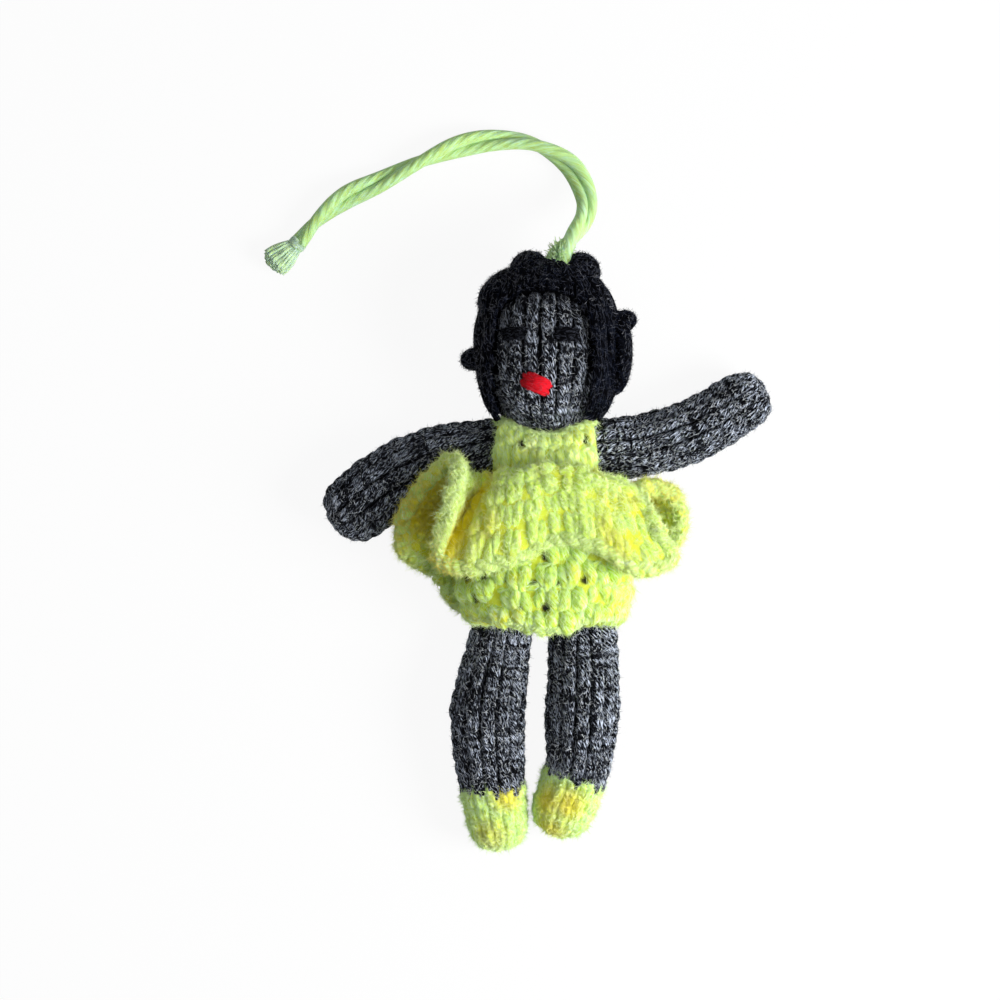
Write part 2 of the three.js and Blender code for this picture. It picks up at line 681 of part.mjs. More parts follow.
const ruffleCloth = ruffle().subtract(bodiceForm).subtract(skirtForm).subtract(floor);
doll.add(makeMesh('dress_ruffle', ruffleCloth.subtract(leftArmRoom).subtract(rightArmRoom), lemonYarn));

export default doll;
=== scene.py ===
import math

import bpy
import numpy as np
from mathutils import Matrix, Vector
from mathutils.bvhtree import BVHTree
from mathutils.kdtree import KDTree


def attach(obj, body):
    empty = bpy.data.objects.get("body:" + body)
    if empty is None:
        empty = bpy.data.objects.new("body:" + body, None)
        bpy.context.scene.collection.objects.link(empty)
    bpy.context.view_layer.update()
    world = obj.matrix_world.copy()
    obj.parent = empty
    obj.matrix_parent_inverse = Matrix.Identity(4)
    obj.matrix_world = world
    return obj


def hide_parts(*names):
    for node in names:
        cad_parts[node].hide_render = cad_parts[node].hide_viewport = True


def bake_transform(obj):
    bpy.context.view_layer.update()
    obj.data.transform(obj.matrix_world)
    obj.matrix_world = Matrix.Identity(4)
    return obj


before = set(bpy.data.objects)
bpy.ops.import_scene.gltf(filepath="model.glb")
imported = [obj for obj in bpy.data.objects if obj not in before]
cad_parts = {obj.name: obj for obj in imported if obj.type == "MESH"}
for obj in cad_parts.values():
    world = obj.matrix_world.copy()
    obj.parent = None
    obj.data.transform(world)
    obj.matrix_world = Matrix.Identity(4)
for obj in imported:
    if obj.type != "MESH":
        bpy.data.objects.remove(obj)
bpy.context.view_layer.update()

# Camera, table and light
# The doll lies on a white table under soft daylight that comes from the right and a little from its
# feet, and is seen from straight above.
mm = 0.001
view_centre = (-9.81, 21.8)
view_width = 218.0
view_height = 568.0
view_plane = 8.0
sensor_width = 36.0


def srgb(red, green, blue):
    shares = [value / 255 for value in (red, green, blue)]
    return tuple(share / 12.92 if share < 0.04045 else ((share + 0.055) / 1.055) ** 2.4 for share in shares)


def add_node(tree, kind, **inputs):
    node = tree.nodes.new(kind)
    for name, value in inputs.items():
        node.inputs[name.replace("_", " ")].default_value = value
    return node


def background_rays(tree):
    """One for the rays that show the background: straight from the camera, or by a mirror or a glass."""
    path = tree.nodes.new("ShaderNodeLightPath")
    shown = path.outputs["Is Camera Ray"]
    for kind in ("Is Glossy Ray", "Is Transmission Ray"):
        either = tree.nodes.new("ShaderNodeMath")
        either.operation = "MAXIMUM"
        tree.links.new(shown, either.inputs[0])
        tree.links.new(path.outputs[kind], either.inputs[1])
        shown = either.outputs[0]
    return shown


camera_data = bpy.data.cameras.new("camera")
camera_data.sensor_width = sensor_width
camera_data.lens = sensor_width * (view_height - view_plane) / view_width
camera = bpy.data.objects.new("camera", camera_data)
camera.location = (view_centre[0] * mm, view_centre[1] * mm, view_height * mm)
bpy.context.scene.collection.objects.link(camera)
bpy.context.scene.camera = camera
bpy.context.scene.view_settings.view_transform = "Standard"

for name, place, size, power in (
    ("window light", (0.46, -0.12, 0.36), 0.30, 5.4),
    ("sky light", (-0.02, 0.06, 0.70), 0.60, 1.3),
):
    lamp = bpy.data.lights.new(name, "AREA")
    lamp.size = size
    lamp.energy = power
    holder = bpy.data.objects.new(name, lamp)
    holder.location = place
    aim = Vector((0.0, 0.02, 0.01)) - Vector(place)
    holder.rotation_euler = aim.to_track_quat("-Z", "Y").to_euler()
    bpy.context.scene.collection.objects.link(holder)

world = bpy.data.worlds.new("daylight")
world.use_nodes = True
bpy.context.scene.world = world
sky = world.node_tree.nodes["Background"]
sky.inputs["Color"].default_value = (*srgb(236, 240, 248), 1)
sky.inputs["Strength"].default_value = 0.15
white_sky = add_node(world.node_tree, "ShaderNodeBackground", Strength=1.0)
white_sky.inputs["Color"].default_value = (1, 1, 1, 1)
sky_mix = world.node_tree.nodes.new("ShaderNodeMixShader")
world.node_tree.links.new(background_rays(world.node_tree), sky_mix.inputs[0])
world.node_tree.links.new(sky.outputs[0], sky_mix.inputs[1])
world.node_tree.links.new(white_sky.outputs[0], sky_mix.inputs[2])
world.node_tree.links.new(sky_mix.outputs[0], world.node_tree.nodes["World Output"].inputs["Surface"])

bpy.ops.object.select_all(action="DESELECT")
bpy.ops.mesh.primitive_plane_add(size=3.0, location=(0, 0, -0.0004))
table = bpy.context.object
table.name = "table"
table_paint = bpy.data.materials.new("white table")
table_paint.use_nodes = True
tree = table_paint.node_tree
plain = tree.nodes["Principled BSDF"]
plain.inputs["Base Color"].default_value = (0.82, 0.82, 0.82, 1)
plain.inputs["Roughness"].default_value = 0.9
glow = add_node(tree, "ShaderNodeEmission", Strength=1.0)
glow.inputs["Color"].default_value = (1, 1, 1, 1)
share = add_node(tree, "ShaderNodeMath")
share.operation = "MULTIPLY"
share.inputs[1].default_value = 0.92
mixed = tree.nodes.new("ShaderNodeMixShader")
tree.links.new(background_rays(tree), share.inputs[0])
tree.links.new(share.outputs[0], mixed.inputs[0])
tree.links.new(plain.outputs[0], mixed.inputs[1])
tree.links.new(glow.outputs[0], mixed.inputs[2])
tree.links.new(mixed.outputs[0], tree.nodes["Material Output"].inputs["Surface"])
table.data.materials.append(table_paint)

# Hanger cord
# A length of lemon yarn, doubled and twisted on itself, leaves the crown between the two top locks of
# hair and lies on the table. Its two soft yarns show their fine fibres on a slant.
cord_route = [
    [2.2, 71.6, 19.6], [3.2, 74.8, 17.6], [5.6, 78.6, 13.2], [8.7, 83.6, 8.0], [9.0, 88.6, 4.6],
    [5.6, 95.4, 2.6], [-2.6, 100.2, 2.3], [-10.9, 101.0, 2.3], [-18.6, 99.7, 2.3], [-27.5, 96.2, 2.3],
    [-36.4, 91.8, 2.3], [-44.0, 88.2, 2.3], [-50.0, 83.4, 2.3], [-54.2, 78.4, 2.6],
]
cord_twist_length = 58.0
strand_radius = 1.34
strand_offset = 1.2
cord_steps = 150
tuft_hairs = 220
tuft_hair_radius = 0.08


def smooth_line(points, shares, closed=False):
    """Places on the smooth line through points, at shares 0 to 1 of its spans."""
    points = np.array(points, float)
    count = len(points) if closed else len(points) - 1
    if closed:
        padded = np.vstack([points[-1], points, points[0], points[1]])
    else:
        padded = np.vstack([2 * points[0] - points[1], points, 2 * points[-1] - points[-2]])
    place = np.asarray(shares, float) * count
    place = place % count if closed else np.clip(place, 0, count - 1e-9)
    span = place.astype(int)
    part = (place - span)[..., None]
    before, start, end, after = (padded[span + step] for step in range(4))

    def knot_step(first, second):
        return np.maximum(np.linalg.norm(second - first, axis=-1), 1e-9)[..., None] ** 0.5

    lead, middle, trail = knot_step(before, start), knot_step(start, end), knot_step(end, after)
    leave = (start - before) / lead - (end - before) / (lead + middle) + (end - start) / middle
    arrive = (end - start) / middle - (after - start) / (middle + trail) + (after - end) / trail
    leave, arrive = leave * middle, arrive * middle
    return (
        start + leave * part
        + (3 * (end - start) - 2 * leave - arrive) * part**2
        + (2 * (start - end) + leave + arrive) * part**3
    )


def walked_lengths(line):
    """The length walked along a line up to each of its places."""
    return np.concatenate([[0], np.cumsum(np.linalg.norm(np.diff(line, axis=0), axis=1))])


def at_lengths(spots, lengths, values):
    """Values along a line, such as its places, at walked lengths."""
    return np.stack([np.interp(spots, lengths, values[:, axis]) for axis in range(3)], axis=-1)


def unit(vectors):
    return vectors / np.maximum(np.linalg.norm(vectors, axis=-1), 1e-9)[..., None]


def even_line(points, count):
    """The smooth line through points as places at even steps of its length, and that length."""
    fine = smooth_line(points, np.linspace(0, 1, 1201))
    lengths = walked_lengths(fine)
    return at_lengths(np.linspace(0, lengths[-1], count), lengths, fine), lengths[-1]


def wound_round(line, radius, turns, start_turn):
    """A line that winds round another one, at a radius."""
    along = unit(np.gradient(line, axis=0))
    across = unit(np.cross(along, [0.31, 0.17, 0.94]))
    upward = np.cross(across, along)
    angle = 2 * math.pi * (np.linspace(0, turns, len(line)) + start_turn)
    return line + radius * (np.cos(angle)[:, None] * across + np.sin(angle)[:, None] * upward)


def yarn_mesh(name, strands, material, roundness=1, closed=False):
    """One mesh of yarn: each strand is a line of places in millimetres, with its radius at each."""
    curve = bpy.data.curves.new(name, "CURVE")
    curve.dimensions = "3D"
    curve.bevel_depth = 1.0
    curve.bevel_resolution = roundness
    curve.use_fill_caps = not closed
    for line, radii in strands:
        spline = curve.splines.new("POLY")
        spline.points.add(len(line) - 1)
        spline.use_cyclic_u = closed
        spline.points.foreach_set("co", np.c_[line * mm, np.ones(len(line))].ravel())
        spline.points.foreach_set("radius", np.broadcast_to(radii, len(line)) * mm)
    yarn = bpy.data.objects.new(name, curve)
    bpy.context.scene.collection.objects.link(yarn)
    bpy.ops.object.select_all(action="DESELECT")
    yarn.select_set(True)
    bpy.context.view_layer.objects.active = yarn
    bpy.ops.object.convert(target="MESH")
    yarn = bpy.context.object
    bpy.ops.object.mode_set(mode="EDIT")
    bpy.ops.mesh.select_all(action="SELECT")
    bpy.ops.mesh.remove_doubles(threshold=1e-7)
    bpy.ops.object.mode_set(mode="OBJECT")
    bpy.ops.object.shade_smooth()
    yarn.data.materials.append(material)
    return yarn


def mix_colours(tree, share, first, second):
    """The mix of two colours by a share. Each of the three is a socket or a value."""
    mix = tree.nodes.new("ShaderNodeMix")
    mix.data_type = "RGBA"
    for name, source in (("Factor", share), ("A", first), ("B", second)):
        if isinstance(source, bpy.types.NodeSocket):
            tree.links.new(source, mix.inputs[name])
        else:
            mix.inputs[name].default_value = source
    return mix.outputs["Result"]


def make_fibre_group():
    """Spun fibre: streaks of three tones along the strand, and the height of plies and fibres."""
    group = bpy.data.node_groups.new("spun fibre", "ShaderNodeTree")
    for name in ("Dark", "Middle", "Pale", "End"):
        group.interface.new_socket(name=name, in_out="INPUT", socket_type="NodeSocketColor")
    for name in ("Plies", "Slant", "Streaks Round", "Streaks Along", "Contrast", "Bias", "End Shade", "Blotches"):
        group.interface.new_socket(name=name, in_out="INPUT", socket_type="NodeSocketFloat")
    group.interface.new_socket(name="Color", in_out="OUTPUT", socket_type="NodeSocketColor")
    group.interface.new_socket(name="Height", in_out="OUTPUT", socket_type="NodeSocketFloat")
    link = group.links.new
    given = group.nodes.new("NodeGroupInput").outputs
    made = group.nodes.new("NodeGroupOutput").inputs

    def maths(operation, first, second=0):
        node = group.nodes.new("ShaderNodeMath")
        node.operation = operation
        for slot, value in enumerate((first, second)):
            if isinstance(value, (int, float)):
                node.inputs[slot].default_value = value
            else:
                link(value, node.inputs[slot])
        return node.outputs[0]

    def noise(place, **inputs):
        node = add_node(group, "ShaderNodeTexNoise", **inputs)
        link(place, node.inputs["Vector"])
        return node.outputs[0]

    def ramp(value, start, end, interpolation="LINEAR"):
        node = add_node(group, "ShaderNodeMapRange", From_Min=start, From_Max=end)
        node.interpolation_type = interpolation
        link(value, node.inputs["Value"])
        return node.outputs[0]

    strand = group.nodes.new("ShaderNodeUVMap")
    strand.uv_map = "UVMap"
    parts = group.nodes.new("ShaderNodeSeparateXYZ")
    link(strand.outputs["UV"], parts.inputs[0])
    along, around = parts.outputs["X"], parts.outputs["Y"]
    place = group.nodes.new("ShaderNodeTexCoord").outputs["Object"]
    spread = add_node(group, "ShaderNodeVectorMath")
    spread.operation = "DOT_PRODUCT"
    spread.inputs[1].default_value = (210, 270, 330)
    link(place, spread.inputs[0])

    turned = maths("ADD", around, maths("MULTIPLY", along, given["Slant"]))
    streak_place = group.nodes.new("ShaderNodeCombineXYZ")
    link(maths("MULTIPLY", turned, given["Streaks Round"]), streak_place.inputs[0])
    link(maths("MULTIPLY", along, given["Streaks Along"]), streak_place.inputs[1])
    link(spread.outputs["Value"], streak_place.inputs[2])
    streaks = noise(streak_place.outputs[0], Scale=1.0, Detail=3.0, Roughness=0.65)
    patches = maths("SUBTRACT", noise(place, Scale=260.0, Detail=2.0), 0.5)

    mixed = maths("ADD", streaks, maths("MULTIPLY", patches, 0.25))
    level = maths("SUBTRACT", maths("SUBTRACT", mixed, 0.5), given["Bias"])
    tone = maths("MULTIPLY", level, given["Contrast"])
    colour = mix_colours(group, ramp(tone, -0.5, 0.0), given["Dark"], given["Middle"])
    colour = mix_colours(group, ramp(tone, 0.05, 0.6), colour, given["Pale"])
    # Painted shade: towards both ends of each strand, where it tucks under the stitches round it, the colour
    # goes to the End colour. Random blotches of uneven dye take the same colour.
    from_middle = maths("ABSOLUTE", maths("SUBTRACT", along, 0.5))
    end_shade_share = maths("MULTIPLY", ramp(from_middle, 0.2, 0.48, "SMOOTHSTEP"), given["End Shade"])
    uneven_dye = noise(place, Scale=120.0, Detail=2.0)
    blotch_share = maths("MULTIPLY", ramp(uneven_dye, 0.5, 0.72, "SMOOTHSTEP"), given["Blotches"])
    colour = mix_colours(group, maths("MAXIMUM", end_shade_share, blotch_share), colour, given["End"])
    link(colour, made["Color"])

    wave = maths("SINE", maths("MULTIPLY", maths("MULTIPLY", turned, given["Plies"]), 2 * math.pi))
    link(maths("ADD", maths("MULTIPLY", wave, 0.5), streaks), made["Height"])
    return group


fibre_group = make_fibre_group()


def yarn_material(
    name, dark, middle, pale, plies, slant, streaks, contrast, sheen,
    bump=0.5, end=None, end_shade=0.8, blotches=0.0, gloss=0.25, soft=0.0, bias=0.0,
):
    """Dyed yarn: streaked colour along the strand, ply and fibre relief, and a soft sheen of loose fibre."""
    material = bpy.data.materials.new(name)
    material.use_nodes = True
    tree = material.node_tree
    shader = tree.nodes["Principled BSDF"]
    fibre = tree.nodes.new("ShaderNodeGroup")
    fibre.node_tree = fibre_group
    # The end colour, by the share given for the ends, is painted shade where each strand tucks under.
    for socket, value in (
        ("Dark", (*dark, 1)), ("Middle", (*middle, 1)), ("Pale", (*pale, 1)), ("End", (*(end or dark), 1)),
        ("Plies", plies), ("Slant", slant), ("Streaks Round", streaks[0]), ("Streaks Along", streaks[1]),
        ("Contrast", contrast), ("Bias", bias), ("End Shade", end_shade if end else 0), ("Blotches", blotches),
    ):
        fibre.inputs[socket].default_value = value
    relief = add_node(tree, "ShaderNodeBump", Strength=bump, Distance=0.0004)
    tree.links.new(fibre.outputs["Color"], shader.inputs["Base Color"])
    tree.links.new(fibre.outputs["Height"], relief.inputs["Height"])
    tree.links.new(relief.outputs[0], shader.inputs["Normal"])
    for socket, value in (
        ("Roughness", 0.88), ("Specular IOR Level", gloss),
        ("Sheen Weight", sheen), ("Sheen Roughness", 0.45), ("Sheen Tint", (*pale, 1)),
        ("Subsurface Weight", soft), ("Subsurface Radius", (1.0, 0.9, 0.3)), ("Subsurface Scale", 0.0012),
    ):
        shader.inputs[socket].default_value = value
    return material


def set_piece(piece, node, body=None):
    """Which body carries a piece, and which solid it stands for, whose own mesh is then hidden."""
    if body:
        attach(piece, body)
    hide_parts(node)


lemon_deep = srgb(186, 208, 44)
lemon = srgb(209, 245, 104)
lemon_pale = srgb(230, 255, 206)
amber = srgb(228, 206, 26)
hanger_yarn = yarn_material(
    "lemon hanger yarn", srgb(176, 200, 96), srgb(186, 226, 150), srgb(202, 242, 210),
    5, 6, (30, 14), 2.6, 0.4, soft=0.4,
)
knot_yarn = yarn_material(
    "lemon knot yarn", srgb(184, 218, 150), srgb(200, 236, 184), srgb(216, 248, 222),
    2, 1, (6, 3), 2.4, 0.4, soft=0.4,
)
cord_line, cord_length = even_line(cord_route, cord_steps)
cord_strands = []
walked = np.linspace(0, cord_length, len(cord_line))
fullness = 1 + 0.2 * np.exp(-((walked / 10) ** 2)) + 0.06 * np.sin(walked / 4.3)
cord_turns = cord_length / cord_twist_length
for side in (0, 0.5):
    strand = wound_round(cord_line, strand_offset * fullness[:, None], cord_turns, 0.12 + side)
    strand[:, 2] = np.maximum(strand[:, 2], strand_radius * fullness + 0.05)
    cord_strands.append((strand, strand_radius * fullness))

# Where the cord leaves the hair, loose fibre stands off it in a small tuft.
chance = np.random.default_rng(5)
for _ in range(tuft_hairs):
    root = cord_line[chance.integers(1, 7)]
    heading = unit(chance.normal(size=3) + [0, 0.3, 0.8])
    hair_reach = np.array([[1.2], [2.2], [2.8 + 0.8 * chance.random()]])
    cord_strands.append((root + heading * hair_reach + 0.15 * chance.normal(size=(3, 3)), tuft_hair_radius))
cord = yarn_mesh("hanger_cord_yarn", cord_strands, hanger_yarn, roundness=4)
set_piece(cord, "hanger_cord", "head")

# Hanger knot
# The two yarns are drawn together by one small knot, and beyond it their cut ends spread into a brush of
# fine plies with a rounded tip.
knot_heading = np.array(cord_route[-1]) - np.array(cord_route[-2])
knot_heading[2] = 0
knot_heading = unit(knot_heading)
knot_neck = np.array(cord_route[-1]) + knot_heading * 0.4
knot_core = knot_neck + knot_heading * np.linspace(-0.5, 0.5, 41)[:, None]
knot_strands = [(wound_round(knot_core, 1.35, 1.8, wrap * 0.5), 0.7) for wrap in range(2)]
brush_heading = knot_heading + [-0.15, 0.12, 0]
knot_side = np.array([-brush_heading[1], brush_heading[0], 0])
tail_count = 80
reach = np.linspace(0, 1, 9)[:, None]
for tail in range(tail_count):
    spread = math.sqrt((tail + 0.5) / tail_count)
    sideways = 3.1 * spread * math.cos(tail * 2.4)
    upward = 1.9 * spread * math.sin(tail * 2.4)
    tail_line = knot_neck + brush_heading * reach * (7.6 - 1.5 * spread**2 + 0.3 * math.sin(tail * 5.1))
    flare = 0.3 + 0.7 * np.sin(reach * math.pi / 2)
    tail_line = tail_line + (knot_side * sideways + [0, 0, upward]) * flare
    tail_line[:, 2] = np.maximum(tail_line[:, 2], 0.5)
    knot_strands.append((tail_line, 0.5))
knot = yarn_mesh("hanger_knot_yarn", knot_strands, knot_yarn)
set_piece(knot, "hanger_knot", "head")

# Torso
# The doll's body is a stuffed knitted bag in charcoal yarn, plain stockinette, with loose pale fibres in
# the yarn. Only its neck shows: under the dress's open stitches lies the dress's cloth, painted dark in
# spots.
body_depth_centre = 12.8
section_fullness = 2.4
knit_radius = 0.9
row_height = 2.75
torso_levels = [[-1.5, 8.0, 5.5], [7.0, 14.2, 9.0], [21.0, 9.6, 8.4], [31.0, 9.2, 8.2], [36.9, 5.8, 5.6]]


def signed_power(value, power):
    return np.sign(value) * np.abs(value) ** power


def body_skin(levels, lift=None):
    """A rounded-square tube up the body. Turn 0 is its front, and rise 0 to 1 runs through the levels."""
    power = 2 / section_fullness
    fine = np.linspace(0, 2 * math.pi, 721)
    half_width, half_depth = np.mean(levels, axis=0)[1:]
    ring_x = half_width * signed_power(np.cos(fine), power)
    ring_z = half_depth * signed_power(np.sin(fine), power)
    walked = walked_lengths(np.stack([ring_x, ring_z], axis=1))
    front = np.interp(math.pi / 2, fine, walked)

    def skin(turn, rise, out):
        level = smooth_line(levels, rise)
        angle = np.interp(np.mod(turn * walked[-1] + front, walked[-1]), walked, fine)
        across = signed_power(np.cos(angle), power)
        upward = signed_power(np.sin(angle), power)
        height = level[..., 0] + (lift(rise, angle) if lift else 0)
        x = (level[..., 1] + out) * across
        z = body_depth_centre + (level[..., 2] + out) * upward
        return np.stack([x, height, z], axis=-1)

    return skin


def knit_strands(skin, wales, rows, seed, first=0.0, last=1.0, radius=knit_radius):
    """Stockinette: each stitch is a V of two strands, whose ends tuck under the stitches round it."""
    chance = np.random.default_rng(seed)
    count = rows * wales * 2
    share = np.linspace(0, 1, 7)
    row, wale, side = (part.reshape(-1, 1) for part in np.indices((rows, wales, 2)))
    lean = 2 * side - 1
    jitter = chance.normal(size=(4, count, 1))
    turn = (wale + lean * (0.06 + 0.20 * share) + 0.012 * jitter[0]) / wales
    rise = first + (last - first) * (row - 0.45 + 1.75 * share + 0.07 * jitter[1]) / rows
    out = radius * (-1.5 - 0.3 * share + 1.15 * np.sin(math.pi * share) ** 0.7) + 0.1 * jitter[2]
    radii = radius * (0.7 + 0.3 * np.sin(math.pi * share)) * (1 + 0.06 * jitter[3])
    lines = skin(turn, np.clip(rise, 0, 1), out)
    lines[..., 2] = np.maximum(lines[..., 2], radii * 0.9)
    return list(zip(lines, radii))


def wrapped_form(name, skin, first, last, out, sides, rings, material, lowest=0.3, thickness=None):
    """A smooth form: a flat grid wrapped on a skin and welded along its seam. It is closed at both ends, or
    else, with a thickness, a sheet that is open at both ends."""
    bpy.ops.object.select_all(action="DESELECT")
    bpy.ops.mesh.primitive_grid_add(x_subdivisions=sides, y_subdivisions=rings, size=1)
    form = bpy.context.object
    form.name = name
    flat = read_mesh(form.data.vertices, "co", 3)
    places = skin(flat[:, 0] + 0.5, first + (last - first) * (flat[:, 1] + 0.5), out)
    places[:, 2] = np.maximum(places[:, 2], lowest)
    form.data.vertices.foreach_set("co", (places * mm).ravel())
    bpy.ops.object.mode_set(mode="EDIT")
    bpy.ops.mesh.select_all(action="SELECT")
    bpy.ops.mesh.remove_doubles(threshold=1e-6)
    if not thickness:
        bpy.ops.mesh.fill_holes(sides=0)
    bpy.ops.mesh.normals_make_consistent(inside=False)
    bpy.ops.object.mode_set(mode="OBJECT")
    if thickness:
        bpy.ops.object.modifier_add(type="SOLIDIFY")
        form.modifiers[-1].thickness = thickness * mm
        form.modifiers[-1].offset = 0
        bpy.ops.object.modifier_apply(modifier=form.modifiers[-1].name)
    bpy.ops.object.shade_smooth()
    form.data.materials.append(material)
    return form


def read_mesh(layer, name, width, kind=float):
    values = np.zeros(len(layer) * width, kind)
    layer.foreach_get(name, values)
    return values.reshape(-1, width) if width > 1 else values


def loose_fibres(name, source, count, length, radius, seed, material, stray=0.5):
    """Fine ends of fibre on the open side of a yarn mesh: three-sided hairs nearly along the strand."""
    chance = np.random.default_rng(seed)
    mesh = source.data
    corners = read_mesh(mesh.vertices, "co", 3)
    faces = [tuple(face.vertices) for face in mesh.polygons]
    four_sided = np.flatnonzero(read_mesh(mesh.polygons, "loop_total", 1, int) == 4)
    loops = read_mesh(mesh.polygons, "loop_start", 1, int)[four_sided][:, None] + np.arange(4)
    face_corners = corners[read_mesh(mesh.loops, "vertex_index", 1, int)[loops]]
    strand_place = read_mesh(mesh.uv_layers.active.data, "uv", 2)[loops][..., 0]
    steps = np.roll(strand_place, -1, axis=1) - strand_place
    longest = np.argmax(np.abs(steps), axis=1)[:, None]
    edges = np.roll(face_corners, -1, axis=1) - face_corners
    along_faces = np.take_along_axis(edges, longest[..., None], axis=1)[:, 0]
    areas = read_mesh(mesh.polygons, "area", 1)[four_sided]
    normals = read_mesh(mesh.polygons, "normal", 3)[four_sided]
    open_reach = 2.5 * mm
    tree = BVHTree.FromPolygons(corners.tolist(), faces)
    picked = []
    for face in chance.choice(len(four_sided), 8 * count, p=areas / areas.sum()):
        start = Vector(face_corners[face].mean(axis=0) + 0.05 * mm * normals[face])
        if tree.ray_cast(start, Vector(normals[face]), open_reach)[0] is None:
            picked.append(face)
        if len(picked) == count:
            break
    count = len(picked)
    mix = chance.dirichlet(np.ones(4), count)[..., None]
    root = np.sum(face_corners[picked] * mix, axis=1) / mm
    stand = normals[picked]
    drift = unit(np.cross(stand, chance.normal(size=(count, 3))))
    along = unit(along_faces[picked]) * chance.choice([-1.0, 1.0], (count, 1))
    reach = length * (0.5 + chance.random((count, 1)))
    heading = unit(0.12 * stand + (1 - stray) * along + stray * drift)
    side = unit(np.cross(heading, stand))
    other = np.cross(heading, side)
    corners = [root + heading * reach]
    for corner in range(3):
        angle = 2 * math.pi * corner / 3
        corners.append(root + radius * (math.cos(angle) * side + math.sin(angle) * other))
    corners = np.stack(corners, axis=1)
    corners[..., 2] = np.maximum(corners[..., 2], 0.1)
    shape = [(0, 1, 2), (0, 2, 3), (0, 3, 1), (3, 2, 1)]
    hairs = bpy.data.meshes.new(name)
    offsets = np.arange(count) * corners.shape[1]
    hair_faces = [tuple(start + np.array(face)) for start in offsets for face in shape]
    hairs.from_pydata((corners.reshape(-1, 3) * mm).tolist(), [], hair_faces)
    fuzz = bpy.data.objects.new(name, hairs)
    bpy.context.scene.collection.objects.link(fuzz)
    hairs.materials.append(material)
    return fuzz


def join_pieces(main, *others):
    bpy.ops.object.select_all(action="DESELECT")
    for piece in (main, *others):
        piece.select_set(True)
    bpy.context.view_layer.objects.active = main
    bpy.ops.object.join()
    return main


def plain_fibre_material(name, colour, other, scale, gloss=0.2, roughness=0.85):
    """Loose fibre: two tones in soft patches."""
    material = bpy.data.materials.new(name)
    material.use_nodes = True
    tree = material.node_tree
    shader = tree.nodes["Principled BSDF"]
    place = tree.nodes.new("ShaderNodeTexCoord")
    patches = add_node(tree, "ShaderNodeTexNoise", Scale=scale, Detail=2.0)
    relief = add_node(tree, "ShaderNodeBump", Strength=0.4, Distance=0.0005)
    tree.links.new(place.outputs["Object"], patches.inputs["Vector"])
    tones = mix_colours(tree, patches.outputs[0], (*colour, 1), (*other, 1))
    tree.links.new(tones, shader.inputs["Base Color"])
    tree.links.new(patches.outputs[0], relief.inputs["Height"])
    tree.links.new(relief.outputs[0], shader.inputs["Normal"])
    shader.inputs["Roughness"].default_value = roughness
    shader.inputs["Specular IOR Level"].default_value = gloss
    return material


# The charcoal yarn's strand ends go near black: painted shade where they tuck under.
charcoal_yarn = yarn_material(
    "charcoal yarn", srgb(2, 2, 4), srgb(18, 20, 26), srgb(206, 216, 234), 3, 0.6, (20, 4), 5.2, 0.06,
    bump=0.9, end=srgb(2, 2, 4), gloss=0.05, bias=0.03,
)
# The back of the knit has only the yarn's darkest tones, without its pale fibre: painted shade in the gaps
# between stitches.
charcoal_back_shade = plain_fibre_material("charcoal knit back shade", srgb(4, 5, 7), srgb(16, 17, 20), 900, gloss=0.02)
charcoal_fuzz = plain_fibre_material("charcoal loose fibre", srgb(36, 40, 48), srgb(244, 250, 255), 2200)
fibre_fill = plain_fibre_material("fibre fill", srgb(236, 234, 228), srgb(250, 249, 246), 260)
fuzz_length = 0.95
fuzz_radius = 0.08
back_inset = -1.7
fill_inset = -2.7
charcoal = (charcoal_yarn, charcoal_back_shade, charcoal_fuzz)


def knit_piece(
    name, skin, wales, rows, seed, knit_materials, hairs, first=0.0, last=1.0, radius=knit_radius, length=fuzz_length
):
    """A knitted cover: its stitches, the back of the knit under them in dim colours of painted shade, and
    loose fibre on top.
    """
    yarn, back, fuzz = knit_materials
    cover = yarn_mesh(name, knit_strands(skin, wales, rows, seed, first, last, radius), yarn)
    lining = wrapped_form(name + "_back", skin, first, last, back_inset * radius, 2 * wales, 2 * rows, back)
    fibres = loose_fibres(name + "_fibre", cover, hairs, length, fuzz_radius, seed + 1, fuzz)
    return join_pieces(cover, lining, fibres)


torso_skin = body_skin(torso_levels)
torso_knit = knit_piece("torso_knit", torso_skin, 18, 14, 11, charcoal, 1200)
set_piece(torso_knit, "torso_cover", "torso")
torso_fill = wrapped_form("torso_fill", torso_skin, 0.06, 0.96, -2.6, 20, 18, fibre_fill)
set_piece(torso_fill, "torso_stuffing", "torso")

# Arms
# Each arm is a knitted tube with a gathered hand end, stuffed with polyester fibre and sewn to the
# shoulder, so it bends softly where it joins the body.
floor_press = 0.5
root_bare = 0.35
hand_length = 5.2
shoulder_rise = 2.2
arm_forms = {
    "left": ([[-12.4, 32.9], [-23.5, 30.5], [-34.4, 25.1], [-41.8, 19.6]], [6.3, 7.1, 7.7, 7.1]),
    "right": ([[12.0, 33.1], [20.7, 33.6], [32.3, 37.1], [43.4, 43.4]], [6.3, 6.5, 6.5, 6.1]),
}


